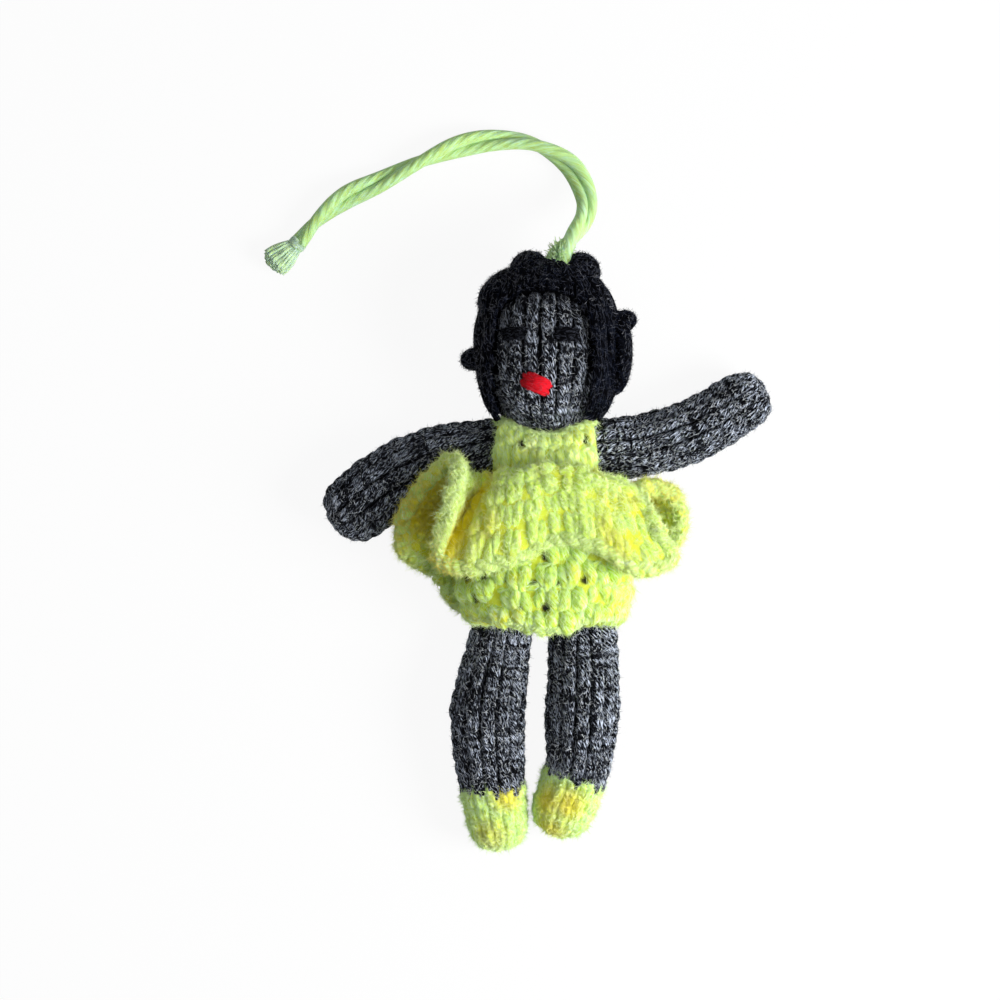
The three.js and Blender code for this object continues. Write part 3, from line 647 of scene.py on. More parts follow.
def limb_skin(plan, radii, root_rise, tip_length):
    """A stuffed tube that lies on the table: rise 0 is its tip, 1 its root. Gives the skin and its length."""
    axis = [[x, y, radius - floor_press] for (x, y), radius in zip(plan, radii)]
    axis[0][2] += root_rise
    shares = np.linspace(0, 1, 401)
    line = smooth_line(axis, shares)
    widths = smooth_line([[radius, 0, 0] for radius in radii], shares)[:, 0]
    lengths = walked_lengths(line)
    headings = unit(np.gradient(line, axis=0))
    root_arc = radii[0] * math.pi / 2
    tip_arc = tip_length * math.pi / 2
    total = root_arc + lengths[-1] + tip_arc

    def skin(turn, rise, out):
        along = (1 - rise) * total - root_arc
        spot = np.clip(along, 0, lengths[-1])
        centre = at_lengths(spot, lengths, line)
        heading = at_lengths(spot, lengths, headings)
        across = unit(np.cross(heading, [0, 0, 1.0]))
        upward = np.cross(across, heading)
        root_turn = np.clip(-along / radii[0], 0, math.pi / 2)
        tip_turn = np.clip((along - lengths[-1]) / tip_length, 0, math.pi / 2)
        shift = (tip_length + out) * np.sin(tip_turn) - (radii[0] + out) * np.sin(root_turn)
        width = (np.interp(spot, lengths, widths) + out) * np.cos(root_turn) * np.cos(tip_turn) ** 0.8
        angle = 2 * math.pi * turn + math.pi / 2
        spread = np.cos(angle)[..., None] * across + np.sin(angle)[..., None] * upward
        return centre + shift[..., None] * heading + width[..., None] * spread

    return skin, total, root_arc


def limb_root(plan, radii, root_rise):
    return np.array([*plan[0], radii[0] - floor_press + root_rise])


def limb_cover(limb, plan, radii, root_rise, tip_length, inward, wales, hairs, seed, start=0.0):
    """A limb's knit from start to its root. Gives its skin and length."""
    skin, length, root_arc = limb_skin(plan, radii, root_rise, tip_length)
    reach = 1 - root_bare * root_arc / length
    rows = round((length * reach - start) / row_height)
    cover = knit_piece(limb + "_knit", skin, wales, rows, seed, charcoal, hairs, start / length, reach)
    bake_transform(cover)
    set_piece(cover, limb + "_cover")
    return skin, length


def limb_fill(limb, skin, rings):
    """The stuffing inside a limb."""
    fill = wrapped_form(limb + "_fill", skin, 0.04, 0.97, fill_inset, 16, rings, fibre_fill)
    set_piece(fill, limb + "_stuffing", limb)


for side, inward, seed in (("left", [1.0, 0, 0], 21), ("right", [-1.0, 0, 0], 31)):
    limb = side + "_arm"
    skin, length = limb_cover(limb, *arm_forms[side], shoulder_rise, hand_length, inward, 12, 5000, seed)
    limb_fill(limb, skin, 24)

# Legs and shoes
# The legs are knitted tubes like the arms. Their feet are worked on in lemon yarn, and the change of colour
# runs in the zigzag of the stitches.
toe_length = 6.0
hip_rise = 4.0
colour_overlap = 1.8
shoe_stitch_radius = 1.3 * knit_radius
shoe_fuzz_length = 1.2
leg_forms = {
    "left": (
        [[-8.6, -2.4], [-10.2, -10.9], [-12.4, -24.6], [-11.6, -39.2], [-10.3, -48.4]],
        [6.0, 6.7, 7.9, 7.0, 6.2], 15.6,
    ),
    "right": (
        [[7.6, -2.4], [8.3, -10.4], [8.1, -24.6], [7.0, -37.0], [4.1, -45.4]],
        [6.6, 7.3, 7.8, 6.8, 6.4], 15.2,
    ),
}
# The shoe yarn's strand ends go amber: painted warm shade where they tuck under.
shoe_yarn = yarn_material(
    "lemon shoe yarn", lemon_deep, srgb(214, 248, 122), lemon_pale, 3, 0.6, (16, 3), 2.2, 0.3,
    end=amber, end_shade=0.2, blotches=0.3, soft=0.5,
)
# The back of the lemon knit is dim amber: painted warm shade in the gaps between stitches.
shoe_back_shade = plain_fibre_material("lemon knit back shade", srgb(150, 118, 8), srgb(206, 180, 30), 900)
lemon_fuzz = plain_fibre_material("lemon loose fibre", srgb(206, 236, 116), srgb(236, 255, 226), 2200)
shoe_knit_materials = (shoe_yarn, shoe_back_shade, lemon_fuzz)
gold_places = np.array(
    [[0.4, -43.6, 11], [1.6, -48.6, 9], [5.0, -44.0, 13], [-8.3, -41.9, 12], [-11.3, -49.8, 9]]
)
gold_reach = 5.0


def tint_where_marked(material, colour):
    """Mix a colour into a material by the share marked on the piece's vertices, such as painted shade."""
    tree = material.node_tree
    mask = tree.nodes.new("ShaderNodeAttribute")
    mask.attribute_name = "tint_share"
    base_colour = tree.nodes["Principled BSDF"].inputs["Base Color"]
    tint = mix_colours(tree, mask.outputs["Fac"], base_colour.links[0].from_socket, (*colour, 1))
    tree.links.new(tint, base_colour)


def mark_tint_shares(piece, places, share_at):
    """Each vertex carries its share of a tint, such as painted shade, from the nearest of places and the
    distance to it.
    """
    finder = KDTree(len(places))
    for index, place in enumerate(places):
        finder.insert(place * mm, index)
    finder.balance()
    shares = []
    for vertex in piece.data.vertices:
        _, index, distance = finder.find(vertex.co)
        shares.append(share_at(index, distance / mm))
    piece.data.attributes.new("tint_share", "FLOAT", "POINT").data.foreach_set("value", shares)


def gold_share(index, distance):
    return min(0.7, max(0, 1.0 - distance / gold_reach))


# Golden patches round listed places on the shoes.
for material in (shoe_yarn, lemon_fuzz):
    tint_where_marked(material, srgb(238, 216, 34))
for side, seed in (("left", 41), ("right", 51)):
    limb = side + "_leg"
    plan, radii, shoe_length = leg_forms[side]
    skin, length = limb_cover(
        limb, plan, radii, hip_rise, toe_length, [0, 1.0, 0], 14, 6000, seed, start=shoe_length
    )
    shoe_rows = round((shoe_length + 2.0) / row_height)
    shoe = knit_piece(
        f"{side}_shoe_knit", skin, 14, shoe_rows, seed + 2, shoe_knit_materials, 8000,
        last=shoe_length / length + colour_overlap / length,
        radius=shoe_stitch_radius, length=shoe_fuzz_length,
    )
    mark_tint_shares(shoe, gold_places, gold_share)
    set_piece(shoe, f"{side}_shoe", limb)
    limb_fill(limb, skin, 26)

# Seams and neck thread
# Each limb's root is sewn to the body with a ring of charcoal yarn under the dress. A drawn thread gathers
# the neck below the chin.
seam_yarn = yarn_material(
    "sewing yarn", srgb(22, 22, 25), srgb(60, 61, 66), srgb(150, 152, 158), 2, 8, (6, 30), 2.0, 0.2
)
shoulder_inset = 3.8
hip_inset = 4.2
thread_radius = 0.6
seam_gap = 0.3


def thread_ring(name, centre, across, upward, half_width, half_height, turns):
    """Two fine plies twisted round a closed ring."""
    angle = np.linspace(0, 2 * math.pi, 72, endpoint=False)[:, None]
    ring = centre + half_width * np.cos(angle) * across + half_height * np.sin(angle) * upward
    radial = np.cos(angle) * across + np.sin(angle) * upward
    axis = np.cross(across, upward)
    plies = []
    for ply in (0, math.pi):
        twist = angle * turns + ply
        plies.append((ring + 0.28 * (np.cos(twist) * radial + np.sin(twist) * axis), 0.32))
    return yarn_mesh(name, plies, seam_yarn, closed=True)


upward = np.array([0, 0, 1.0])
for side, direction in (("left", 1.0), ("right", -1.0)):
    for joint, form, rise, inset, inward, across in (
        ("shoulder", arm_forms[side], shoulder_rise, shoulder_inset, [direction, 0, 0], [0, 1.0, 0]),
        ("hip", leg_forms[side], hip_rise, hip_inset, [0, 1.0, 0], [1.0, 0, 0]),
    ):
        plan, radii = form[:2]
        radius = math.sqrt(radii[0] ** 2 - inset**2) + seam_gap + thread_radius
        centre = limb_root(plan, radii, rise) + inset * np.array(inward)
        seam = thread_ring(f"{side}_{joint}_stitches", centre, np.array(across), upward, radius, radius, 14)
        set_piece(seam, f"{side}_{joint}_seam", "torso")

neck_level = torso_levels[-1]
neck_centre = np.array([0, neck_level[0] - thread_radius, body_depth_centre])
neck_thread = thread_ring(
    "neck_thread", neck_centre, np.array([1.0, 0, 0]), upward,
    neck_level[1] + seam_gap + thread_radius, neck_level[2] + seam_gap + thread_radius, 16,
)
set_piece(neck_thread, "neck_gather_thread", "torso")

# Head
# The head is an egg of the same charcoal stockinette, stuffed firm and full at the chin. The wales of its
# knit run up the face.
head_centre = np.array([0.5, 53.8, 15.6])
head_halves = np.array([12.6, 16.6, 12.8])
chin_taper = 0.05
chin_fullness = 1.7
crown_fullness = 1.15


def head_spread(level):
    fullness = np.where(level < 0, chin_fullness, crown_fullness)
    return np.sqrt(np.maximum(1 - level**2, 0)) ** (1 / fullness) * (1 + chin_taper * level)


def head_skin(turn, rise, out):
    """The head's egg. Turn 0 is the face, rise 0 the chin and 1 the crown."""
    level = -np.cos(math.pi * rise)
    angle = 2 * math.pi * turn + math.pi / 2
    spread = head_spread(level)
    x = head_centre[0] + (head_halves[0] + out) * spread * np.cos(angle)
    y = head_centre[1] + (head_halves[1] + out) * level
    z = head_centre[2] + (head_halves[2] + out) * spread * np.sin(angle)
    return np.stack([x, y, z], axis=-1)


# Painted shade: the head's knit and its loose fibre go near black where marked.
for material in (charcoal_yarn, charcoal_fuzz):
    tint_where_marked(material, srgb(3, 3, 5))
head_knit = knit_piece("head_knit", head_skin, 20, 17, 61, charcoal, 8000)
set_piece(head_knit, "head_cover", "head")
head_fill = wrapped_form("head_fill", head_skin, 0.05, 0.95, fill_inset, 24, 20, fibre_fill)
set_piece(head_fill, "head_stuffing", "head")

# Eyes and mouth
# The eyes are three or four flat stitches of black yarn side by side, and the mouth is a slanting patch of
# red satin stitches, all sewn through the knit.
eye_yarn = yarn_material(
    "black eye yarn", srgb(2, 2, 3), srgb(6, 6, 8), srgb(30, 32, 38), 2, 1, (5, 2), 1.6, 0.0, gloss=0.01
)
mouth_yarn = yarn_material(
    "red mouth yarn", srgb(120, 0, 12), srgb(208, 2, 26), srgb(234, 24, 46), 2, 1, (6, 2), 2.0, 0.05
)
eye_fuzz = plain_fibre_material("black loose fibre", srgb(12, 12, 15), srgb(60, 64, 76), 700)
mouth_fuzz = plain_fibre_material("red loose fibre", srgb(150, 6, 26), srgb(224, 70, 84), 700)


def satin_stitches(place, half_length, half_height, slant, count, radius):
    """Flat stitches side by side on the face, each arched over the knit and tucked in at both ends."""
    strands = []
    along = np.linspace(-1, 1, 11)
    for stitch in range(count):
        offset = (stitch / (count - 1) * 2 - 1) * (half_height - radius * 0.6)
        length = half_length * (0.92 + 0.08 * math.cos(2.3 * stitch + place[0]))
        turn = math.radians(slant)
        x = place[0] + along * length * math.cos(turn) - offset * math.sin(turn)
        y = place[1] + along * length * math.sin(turn) + offset * math.cos(turn)
        out = 0.55 - 1.5 * np.abs(along) ** 4 + 0.15 * (stitch % 2)
        spread = head_spread(y / head_halves[1])
        depth = np.sqrt(np.maximum(spread**2 - (x / head_halves[0]) ** 2, 0))
        z = head_centre[2] + (head_halves[2] + out) * depth
        line = np.stack([head_centre[0] + x, head_centre[1] + y, z], axis=1)
        strands.append((line, radius * (1 - 0.35 * np.abs(along) ** 3)))
    return strands


eye_places = ((-7.5, 3.1), (3.7, 2.9))
satin_radius = 0.62
for name, place, half_length, half_height, slant, count, yarn, fuzz, slot in (
    ("left_eye", eye_places[0], 3.0, 1.15, 2, 4, eye_yarn, eye_fuzz, "black_eye_yarn"),
    ("right_eye", eye_places[1], 3.0, 1.25, -3, 4, eye_yarn, eye_fuzz, "black_eye_yarn"),
    ("mouth", (-2.6, -7.5), 3.4, 1.6, -24, 6, mouth_yarn, mouth_fuzz, "red_mouth_yarn"),
):
    strands = satin_stitches(place, half_length, half_height, slant, count, satin_radius)
    stitches = yarn_mesh(name + "_stitches", strands, yarn, roundness=2)
    fibres = loose_fibres(name + "_fibre", stitches, 260, 0.8, 0.07, 71, fuzz, 0.3)
    set_piece(join_pieces(stitches, fibres), name, "head")

# Hair
# The hair is soft black yarn. Long strands are laid from the crown over the sides and the back of the head,
# and loops of the same yarn stand as locks on top, at the sides and as two small curls.
hair_yarn = yarn_material(
    "black hair yarn", srgb(1, 1, 2), srgb(3, 3, 5), srgb(20, 25, 38), 2, 3, (9, 12), 2.4, 0.0,
    bump=0.7, gloss=0.02,
)
hair_base = plain_fibre_material("black hair base", srgb(2, 2, 3), srgb(6, 6, 8), 700, gloss=0.01)
hair_fuzz = plain_fibre_material(
    "black loose hair", srgb(1, 1, 2), srgb(24, 33, 56), 2200, gloss=0.4, roughness=0.38
)
hair_radius = 0.8
hair_fuzz_radius = 0.075
crown_stand = 3.3
window_centre = np.array([-1.3, -3.0])
window_halves = np.array([10.8, 15.4])
window_squareness = 3.0
nape_level = -0.68
cheek_level = -0.78
base_level = -0.8
strand_count = 76


def in_face_window(line):
    """Which places of a line lie in the opening that the hair leaves for the face."""
    offset = (line[:, :2] - head_centre[:2] - window_centre) / window_halves
    return (np.sum(np.abs(offset) ** window_squareness, axis=1) < 1) & (line[:, 2] > head_centre[2])


# The face's knit darkens towards the edge of its opening, most at the chin and beside the hair: painted
# shade, with stray black fibre from the hair as well. It also darkens in a soft patch round each eye.
face_places = read_mesh(head_knit.data.vertices, "co", 3)[:, :2] / mm - head_centre[:2]
edge_share = np.sum(np.abs((face_places - window_centre) / window_halves) ** window_squareness, axis=1)
shade = 0.85 * np.clip((edge_share - 0.25) / 0.75, 0, 1)
for eye_place in eye_places:
    away = np.sum(((face_places - eye_place) / (3.8, 1.9)) ** 2, axis=1)
    shade = np.maximum(shade, 0.9 * np.exp(-away))
head_knit.data.attributes.new("tint_share", "FLOAT", "POINT").data.foreach_set("value", shade)

chance = np.random.default_rng(81)
cap_strands = []
for strand in range(strand_count):
    over_arm = -0.55 < math.cos(2 * math.pi * strand / strand_count) < 0.1
    end_level = nape_level if over_arm else cheek_level
    rise = np.linspace(0.985, math.acos(-end_level) / math.pi, 30)
    sway = 0.35 * np.sin(rise * 17 + strand * 2.4) + 0.2 * chance.normal()
    turn = (strand + sway) / strand_count
    out = crown_stand - hair_radius * 0.95 + 0.22 * np.sin(rise * 23 + strand * 1.7)
    line = head_skin(turn, rise, out)
    stopped = np.flatnonzero(in_face_window(line))
    if len(stopped):
        line = line[: stopped[0] + 1]
    if len(line) < 4:
        continue
    share = np.linspace(0, 1, len(line))
    radii = hair_radius * (1 - 0.55 * share**8)
    line[:, 2] = np.maximum(line[:, 2], radii * 0.9)
    cap_strands.append((line, radii))
cap = yarn_mesh("hair_cap_yarn", cap_strands, hair_yarn)


def hair_base_skin(turn, rise, out):
    """The head's egg, drawn in to the knit inside the opening for the face."""
    places = head_skin(turn, rise, out)
    inside = in_face_window(places)
    places[inside] = head_skin(turn, rise, -2.0)[inside]
    return places


base_start = math.acos(-base_level) / math.pi
base = wrapped_form("hair_cap_base", hair_base_skin, base_start, 1.0, crown_stand - 2.1, 64, 40, hair_base)
fibres = loose_fibres("hair_cap_fibre", cap, 16000, 1.1, hair_fuzz_radius, 83, hair_fuzz, 0.8)
cap = join_pieces(cap, base, fibres)
set_piece(cap, "hair_cap", "head")

for name, bearing, half_length, half_height, half_depth, sink, seed in (
    ("hair_side_left", 132, 6.5, 3.0, 7.0, 2.0, 91),
    ("hair_side_right", -1, 9.5, 3.0, 7.0, 1.0, 93),
    ("hair_top_left", 103, 4.7, 4.2, 7.0, 2.4, 95),
    ("hair_top_right", 66, 4.7, 4.2, 7.0, 1.6, 97),
    ("hair_curl_left", 185, 2.7, 2.7, 2.7, -0.1, 99),
    ("hair_curl_right", 18, 2.7, 2.7, 2.7, -0.8, 101),
):
    angle = math.radians(bearing)
    outward = crown_stand - sink
    spread = float(head_spread(np.array(math.sin(angle)))) * math.copysign(1, math.cos(angle))
    halves = head_halves + outward
    centre = head_centre + [halves[0] * spread, halves[1] * math.sin(angle), 0]
    outward_way = np.array([math.cos(angle), math.sin(angle), 0])
    along_way = np.array([-math.sin(angle), math.cos(angle), 0])
    loop_count = max(3, round(2 * half_depth / (1.5 * hair_radius)))
    share = np.linspace(0, 1, 15)[:, None]
    loops = []
    for loop in range(loop_count):
        depth = (loop / (loop_count - 1) * 2 - 1) * (half_depth - hair_radius * 0.7)
        size = math.sqrt(max(0.1, 1 - (depth / half_depth) ** 2))
        arch = half_height * size - hair_radius * 0.6
        line = centre + along_way * np.cos(math.pi * share) * (half_length * size - 0.8)
        line = line + outward_way * (np.sin(math.pi * share) ** 0.8 * (arch + 1.2) - 1.2)
        line = line + np.array([0, 0, 1.0]) * (depth + 0.4 * math.sin(loop * 2.1 + seed))
        loops.append((line, hair_radius * (0.8 + 0.2 * np.sin(math.pi * share[:, 0]))))
    lock = yarn_mesh(name + "_yarn", loops, hair_yarn)
    hairs = 120 * loop_count
    fibres = loose_fibres(name + "_fibre", lock, hairs, 1.2, hair_fuzz_radius, seed, hair_fuzz, 0.8)
    set_piece(join_pieces(lock, fibres), name, "head")

# Dress skirt
# The skirt is single crochet in lemon yarn, worked in rounds from the waist, so small gaps open between
# its plump stitches. Spots of them are painted dark, most at the left: painted shade, and the dark body
# within. Its hem ends in a rolled edge.
# The amber strand ends of the dress's yarn are painted warm shade where the stitches tuck under.
skirt_crochet_yarn, bodice_lightened_yarn, ruffle_crochet_yarn = (
    yarn_material(
        name, deep, middle, lemon_pale, 4, 0.8, (20, 4), contrast, 0.35,
        bump=0.7, end=amber, end_shade=0.4, blotches=blotches, soft=0.4,
    )
    for name, deep, middle, contrast, blotches in (
        ("lemon crochet yarn", lemon_deep, lemon, 3.6, 0.5),
        # The bodice's yarn is a lighter copy of the skirt's: painted light, against the shade that the chin
        # and the frill cast on it.
        ("lemon bodice yarn lightened", srgb(214, 236, 80), srgb(232, 255, 134), 3.6, 0.3),
        ("lemon ruffle yarn", srgb(196, 220, 60), lemon, 2.6, 0.4),
    )
)
edge_yarn = yarn_material(
    "lemon edge yarn", srgb(190, 212, 70), srgb(212, 242, 130), lemon_pale, 3, 90, (20, 240), 3.2, 0.35,
    bump=0.7, soft=0.4,
)
# The cloth under the crochet is olive and amber, dimmer than the yarn: painted warm shade in the gaps between
# stitches.
dress_lining_shade, ruffle_lining_shade = (
    plain_fibre_material(name, srgb(186, 186, 24), srgb(216, 234, 84), scale)
    for name, scale in (("lemon crochet back shade", 700), ("lemon ruffle back shade", 500))
)
dress_fuzz, ruffle_fuzz = (
    plain_fibre_material(name, colour, srgb(240, 255, 216), 2200)
    for name, colour in (
        ("lemon crochet fibre", srgb(206, 236, 116)), ("lemon ruffle fibre", srgb(220, 238, 104))
    )
)
stitch_radius = 1.6
round_shift = 0.5
cloth_lowest = 0.7
cloth_thickness = 0.5
gap_shade_reach = 1.5
fibre_length = 1.7
fibre_radius = 0.06
waist_height = 20.7
waist_halves = (12.1, 10.9)
hem_dip = 2.2
neckline_lift = 3.4
skirt_levels = [[-3.9, 16.9, 13.3], [3.0, 18.9, 13.3], [12.0, 16.6, 11.5], [waist_height, *waist_halves]]
bodice_levels = [[21.0, *waist_halves], [31.0, 11.7, 10.7], [35.4, 10.8, 8.1]]


def hem_lift(rise, angle):
    return -hem_dip * (1 - rise) * np.maximum(0, np.sin(angle)) ** 12


def neckline(rise, angle):
    return neckline_lift * rise * np.abs(np.cos(angle)) ** 1.2


# One stitch is two leaning legs under a bar: across in stitch widths, up in rows and out in yarn radii.
stitch_paths = (
    [
        (-0.02, -0.22, -2.1), (-0.1, 0.08, -0.95), (-0.18, 0.42, -0.55), (-0.24, 0.78, -0.9),
        (-0.28, 1.05, -1.9),
    ],
    [(0.06, -0.22, -2.1), (0.12, 0.08, -0.9), (0.18, 0.42, -0.5), (0.24, 0.78, -0.85), (0.3, 1.05, -1.9)],
    [(-0.6, 0.98, -1.9), (-0.32, 0.9, -1.0), (0.0, 0.86, -0.75), (0.32, 0.9, -0.95), (0.6, 0.98, -1.9)],
)


def crochet_strands(skin, stitches, rows, seed, first=0.0, last=1.0, radius=stitch_radius):
    """Single crochet in rounds: each round sits half a stitch on from the one below."""
    chance = np.random.default_rng(seed)
    strands = []
    row, stitch = (part.reshape(-1, 1) for part in np.indices((rows, stitches)))
    share = np.linspace(0, 1, 8)
    for path, fullness in zip(stitch_paths, (1.0, 1.0, 0.68)):
        across, up, out = smooth_line(path, share).T
        jitter = chance.normal(size=(4, rows * stitches, 1))
        turn = (stitch + round_shift * row + across + 0.08 * jitter[0]) / stitches
        rise = first + (last - first) * (row + up + 0.1 * jitter[1]) / rows
        radii = fullness * radius * (0.6 + 0.4 * np.sin(math.pi * share)) * (1 + 0.1 * jitter[3])
        lines = skin(turn, np.clip(rise, 0, 1), radius * out + 0.25 * jitter[2])
        lines[..., 2] = np.maximum(lines[..., 2], radii * 0.9)
        strands.extend(zip(lines, radii))
    return strands


def edge_strands(skin, rise, loops, radius, out, seed):
    """A worked edge: two yarns that wind round each other along one rise of a skin."""
    chance = np.random.default_rng(seed)
    turn = np.linspace(0, 1, loops * 6, endpoint=False)
    wobble = 0.15 * smooth_line(chance.normal(size=(loops, 3)), turn, closed=True)
    edges = []
    for start in (0, math.pi):
        wave = 2 * math.pi * turn * loops / 2 + start
        lines = skin(turn, rise + 0.012 * np.sin(wave), out + 0.55 * radius * np.cos(wave)) + wobble
        lines[:, 2] = np.maximum(lines[:, 2], radius * 0.9)
        edges.append((lines, radius))
    return edges


def worked_part(name, strands, stitch_yarn, rim, hairs, seed, fuzz, stray=0.4):
    """A part's stitches and its worked edge as one piece, and the loose fibre on them as another."""
    yarn = yarn_mesh(name + "_stitches", strands, stitch_yarn, roundness=2)
    yarn = join_pieces(yarn, yarn_mesh(name + "_edge", rim, edge_yarn, closed=True))
    return yarn, loose_fibres(name + "_fibre", yarn, hairs, fibre_length, fibre_radius, seed, fuzz, stray)


def dark_gap_spots(skin, stitches, rows, seed, first=0.0, last=1.0):
    """Spots between stitch feet, mostly at the left, to paint dark: painted shade and the dark body beneath.
    """
    chance = np.random.default_rng(seed)
    row, stitch = (part.ravel() for part in np.indices((rows, stitches)))
    turn = (stitch + 0.5 + round_shift * row) / stitches
    rise = np.clip(first + (last - first) * (row + 0.17) / rows, 0, 1)
    places = skin(turn, rise, np.full(len(row), -0.5))
    likely = np.where(places[:, 0] < 4, 0.7, 0.1) * (row > 0)
    return places[chance.random(len(row)) < likely]


def gap_shade_share(index, distance):
    reach = gap_shade_reach * (0.55 + 0.45 * math.sin(2.4 * index) ** 2)
    return min(1, max(0, 2.4 * (1 - distance / reach)))


# Painted shade: near black round the gap spots, on the dress's yarn and on the cloth under it.
for material in (skirt_crochet_yarn, bodice_lightened_yarn, dress_lining_shade):
    tint_where_marked(material, srgb(14, 14, 10))
skirt_skin = body_skin(skirt_levels, hem_lift)
skirt_cloth = wrapped_form(
    "skirt_cloth", skirt_skin, 0.02, 1.0, -0.75, 150, 60, dress_lining_shade, cloth_lowest, cloth_thickness
)
skirt_yarn, skirt_fibre = worked_part(
    "skirt", crochet_strands(skirt_skin, 19, 5, 111, last=0.97), skirt_crochet_yarn,
    edge_strands(skirt_skin, 0.03, 46, 0.95, -1.1, 113), 18000, 115, dress_fuzz,
)
for piece in (skirt_cloth, skirt_yarn):
    mark_tint_shares(piece, dark_gap_spots(skirt_skin, 19, 5, 116, last=0.97), gap_shade_share)

# Dress bodice
# The bodice goes on up from the waist in the same single crochet, with an opening for each arm and two
# points beside the neck.
armhole_radius = 8.2
fine_stitch_radius = 0.85 * stitch_radius


def clear_of_arms(strands):
    """Leave out the strands that would run through an arm's opening."""
    kept = []
    for line, radii in strands:
        inside = False
        for plan, arm_radii in arm_forms.values():
            root = limb_root(plan, arm_radii, shoulder_rise)
            inside = inside or np.linalg.norm(line - root, axis=1).min() < armhole_radius
        if not inside:
            kept.append((line, radii))
    return kept


bodice_skin = body_skin(bodice_levels, neckline)
bodice_cloth = wrapped_form(
    "bodice_cloth", bodice_skin, 0.0, 0.97, -0.8, 130, 40, dress_lining_shade, cloth_lowest, cloth_thickness
)
bodice_strands = crochet_strands(bodice_skin, 18, 3, 121, first=-0.08, radius=fine_stitch_radius)
bodice_yarn, bodice_fibre = worked_part(
    "bodice", clear_of_arms(bodice_strands), bodice_lightened_yarn,
    edge_strands(bodice_skin, 0.985, 34, 0.85, -0.9, 123), 10000, 125, dress_fuzz,
)
for piece in (bodice_cloth, bodice_yarn):
    mark_tint_shares(piece, dark_gap_spots(bodice_skin, 18, 3, 126, first=-0.08)[::2], gap_shade_share)

# Waist ruffle
# The ruffle is a frill worked on the waist with many stitches to each stitch below, so it stands out in deep
# folds. Its last round is a thick pale edge.
ruffle_thickness = 2.2
ruffle_height = 23.0
ruffle_reach = 5.0
ruffle_roll = 14.0
ruffle_root_halves = (13.4, 12.2)
ruffle_turn_share = 12 / 22
ruffle_edge = [
    [2, 13, 27], [-9, 8, 28], [-18, 6.8, 27], [-23, 9, 26.5], [-21.5, 18, 27], [-18.5, 28, 25.5],
    [-20.5, 30.5, 22], [-26, 25.5, 19.5], [-31.3, 17, 16], [-31, 9.8, 11], [-24, 5.2, 7], [-18.6, -2, 2.6],
    [0, 11, 1], [13, 10, 1.4], [24, 8.5, 6], [30, 16, 12.5], [27, 23.5, 16], [20.5, 24, 19.5],
    [22.5, 15.5, 24], [27, 8.7, 22.5], [19, 6.4, 26], [10.5, 11.6, 27.5],
]

# Folds and small pits that sink into the frill: place in edge points, rise, depth and half sizes of both.
ruffle_folds = [
    [2.75, 0.33, 9.0, 0.7, 0.30], [7.6, 0.35, 6.0, 1.2, 0.35], [16.2, 0.35, 5.0, 0.8, 0.25],
    [0.35, 0.52, 1.2, 0.16, 0.09], [1.55, 0.20, 1.2, 0.22, 0.08], [19.3, 0.38, 1.2, 0.30, 0.08],
    [20.5, 0.10, 1.2, 0.35, 0.08], [21.4, 0.46, 1.2, 0.16, 0.09], [20.2, 0.62, 1.2, 0.20, 0.07],
    [16.3, 0.06, 1.2, 0.60, 0.16],
]


def fold_depth(turn, rise):
    """How deep the folds sink at a place of the frill, and how dim it gets in the nearest of them."""
    depth = np.zeros(np.broadcast(turn, rise).shape)
    share = depth
    for place, middle, deepest, half_width, half_rise in ruffle_folds:
        aside = (turn * len(ruffle_edge) - place) / half_width
        below = (rise - middle) / half_rise
        sunk = np.exp(-(aside**2) - below**2)
        depth = depth + deepest * sunk
        share = np.maximum(share, np.minimum(2.2 * sunk, 1) * (0.3 + 0.7 * deepest / 9))
    return depth * np.sin(math.pi * np.clip(rise, 0, 1)), share


def ruffle_ground(turn, rise):
    """The frill's middle surface: turn runs round the waist by the left, and rise from edge to waist."""
    turn = np.mod(turn, 1)
    first_part = turn < ruffle_turn_share
    past_back = (turn - ruffle_turn_share) / (1 - ruffle_turn_share)
    part = np.where(first_part, turn / ruffle_turn_share, 1 + past_back)
    angle = math.pi / 2 + math.pi * part
    across, upward = np.cos(angle), np.sin(angle)
    root_x = ruffle_root_halves[0] * across
    root_z = np.maximum(body_depth_centre + ruffle_root_halves[1] * upward, 1.0)
    root = np.stack([root_x, np.full_like(root_x, ruffle_height), root_z], axis=-1)
    roll = root + np.stack(
        [ruffle_reach * across, ruffle_roll * np.maximum(0, upward), ruffle_reach * upward], axis=-1
    )
    edge = smooth_line(ruffle_edge, turn, closed=True)
    down = (1 - rise)[..., None]
    place = (1 - down) ** 2 * root + 2 * down * (1 - down) * roll + down**2 * edge
    place[..., 2] = np.maximum(place[..., 2] - fold_depth(turn, rise)[0], 1.0)
    return place


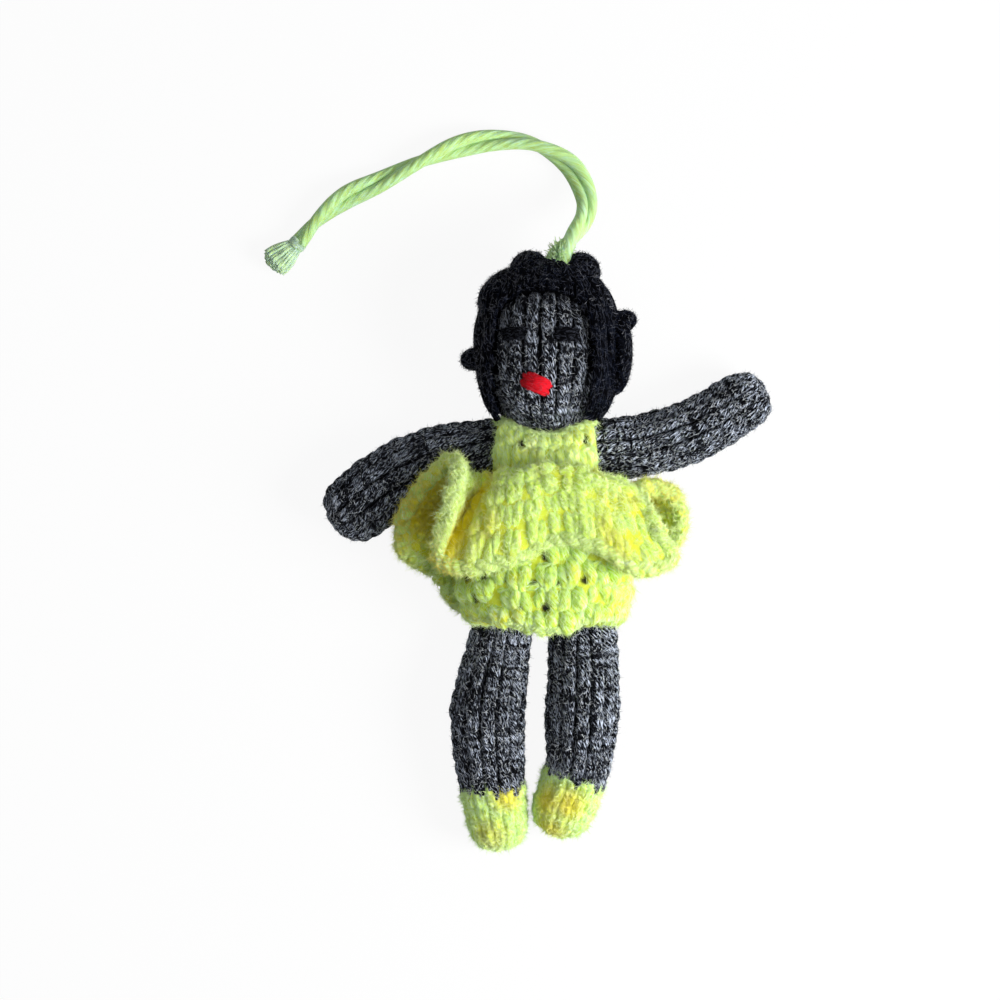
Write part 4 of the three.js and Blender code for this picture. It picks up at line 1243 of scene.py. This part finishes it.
def ruffle_skin(turn, rise, out):
    """The frill's ground, moved out along its own normal."""
    turn, rise, out = np.broadcast_arrays(*(np.asarray(part, float) for part in (turn, rise, out)))
    step = 0.002
    along = ruffle_ground(turn + step, rise) - ruffle_ground(turn - step, rise)
    up = ruffle_ground(turn, np.minimum(rise + step, 1)) - ruffle_ground(turn, np.maximum(rise - step, 0))
    return ruffle_ground(turn, rise) + unit(np.cross(up, along)) * out[..., None]


for material in (ruffle_crochet_yarn, ruffle_lining_shade, ruffle_fuzz):
    tint_where_marked(material, srgb(228, 206, 16))
ruffle_cloth = wrapped_form(
    "ruffle_cloth", ruffle_skin, 0.03, 0.97, 0.0, 200, 30, ruffle_lining_shade, cloth_lowest, ruffle_thickness
)
ruffle_strands = []
for first, last, count, seed in (
    (0.84, 1.02, 26, 130), (0.70, 0.88, 30, 131), (0.56, 0.74, 34, 132), (0.42, 0.60, 38, 133),
    (0.28, 0.46, 42, 134), (0.14, 0.32, 46, 135), (0.0, 0.18, 50, 136),
):
    ruffle_strands += crochet_strands(
        lambda turn, rise, out: ruffle_skin(turn, rise, out + 0.8 * stitch_radius),
        count, 1, seed, first, last, fine_stitch_radius,
    )
ruffle_yarn, ruffle_fibre = worked_part(
    "ruffle", ruffle_strands, ruffle_crochet_yarn,
    edge_strands(ruffle_skin, 0.02, 60, 1.3, 0.0, 137), 44000, 139, ruffle_fuzz, stray=0.6,
)

# Deep in a fold the yarn only gets light that other yarn has coloured, so its hollows are amber.
grid_turn, grid_rise = (part.ravel() for part in np.meshgrid(np.linspace(0, 1, 221), np.linspace(0, 1, 21)))
fold_shares = fold_depth(grid_turn, grid_rise)[1]
for piece in (ruffle_cloth, ruffle_yarn, ruffle_fibre):
    mark_tint_shares(piece, ruffle_ground(grid_turn, grid_rise), lambda index, distance: fold_shares[index])

# Each part's size as flat crochet: round and tall for the tubes, along and deep for the strip of the frill.
for cloth, yarn, fibre, node, flat, held, under in (
    (skirt_cloth, skirt_yarn, skirt_fibre, "dress_skirt", (0.080, 0.0285), "stretched", "torso_cover"),
    (bodice_cloth, bodice_yarn, bodice_fibre, "dress_bodice", (0.072, 0.0155), "stretched", "torso_cover"),
    (ruffle_cloth, ruffle_yarn, ruffle_fibre, "dress_ruffle", (0.150, 0.0195), "gathered", "dress_skirt"),
):
    for piece in (cloth, yarn, fibre):
        set_piece(piece, node, "torso")
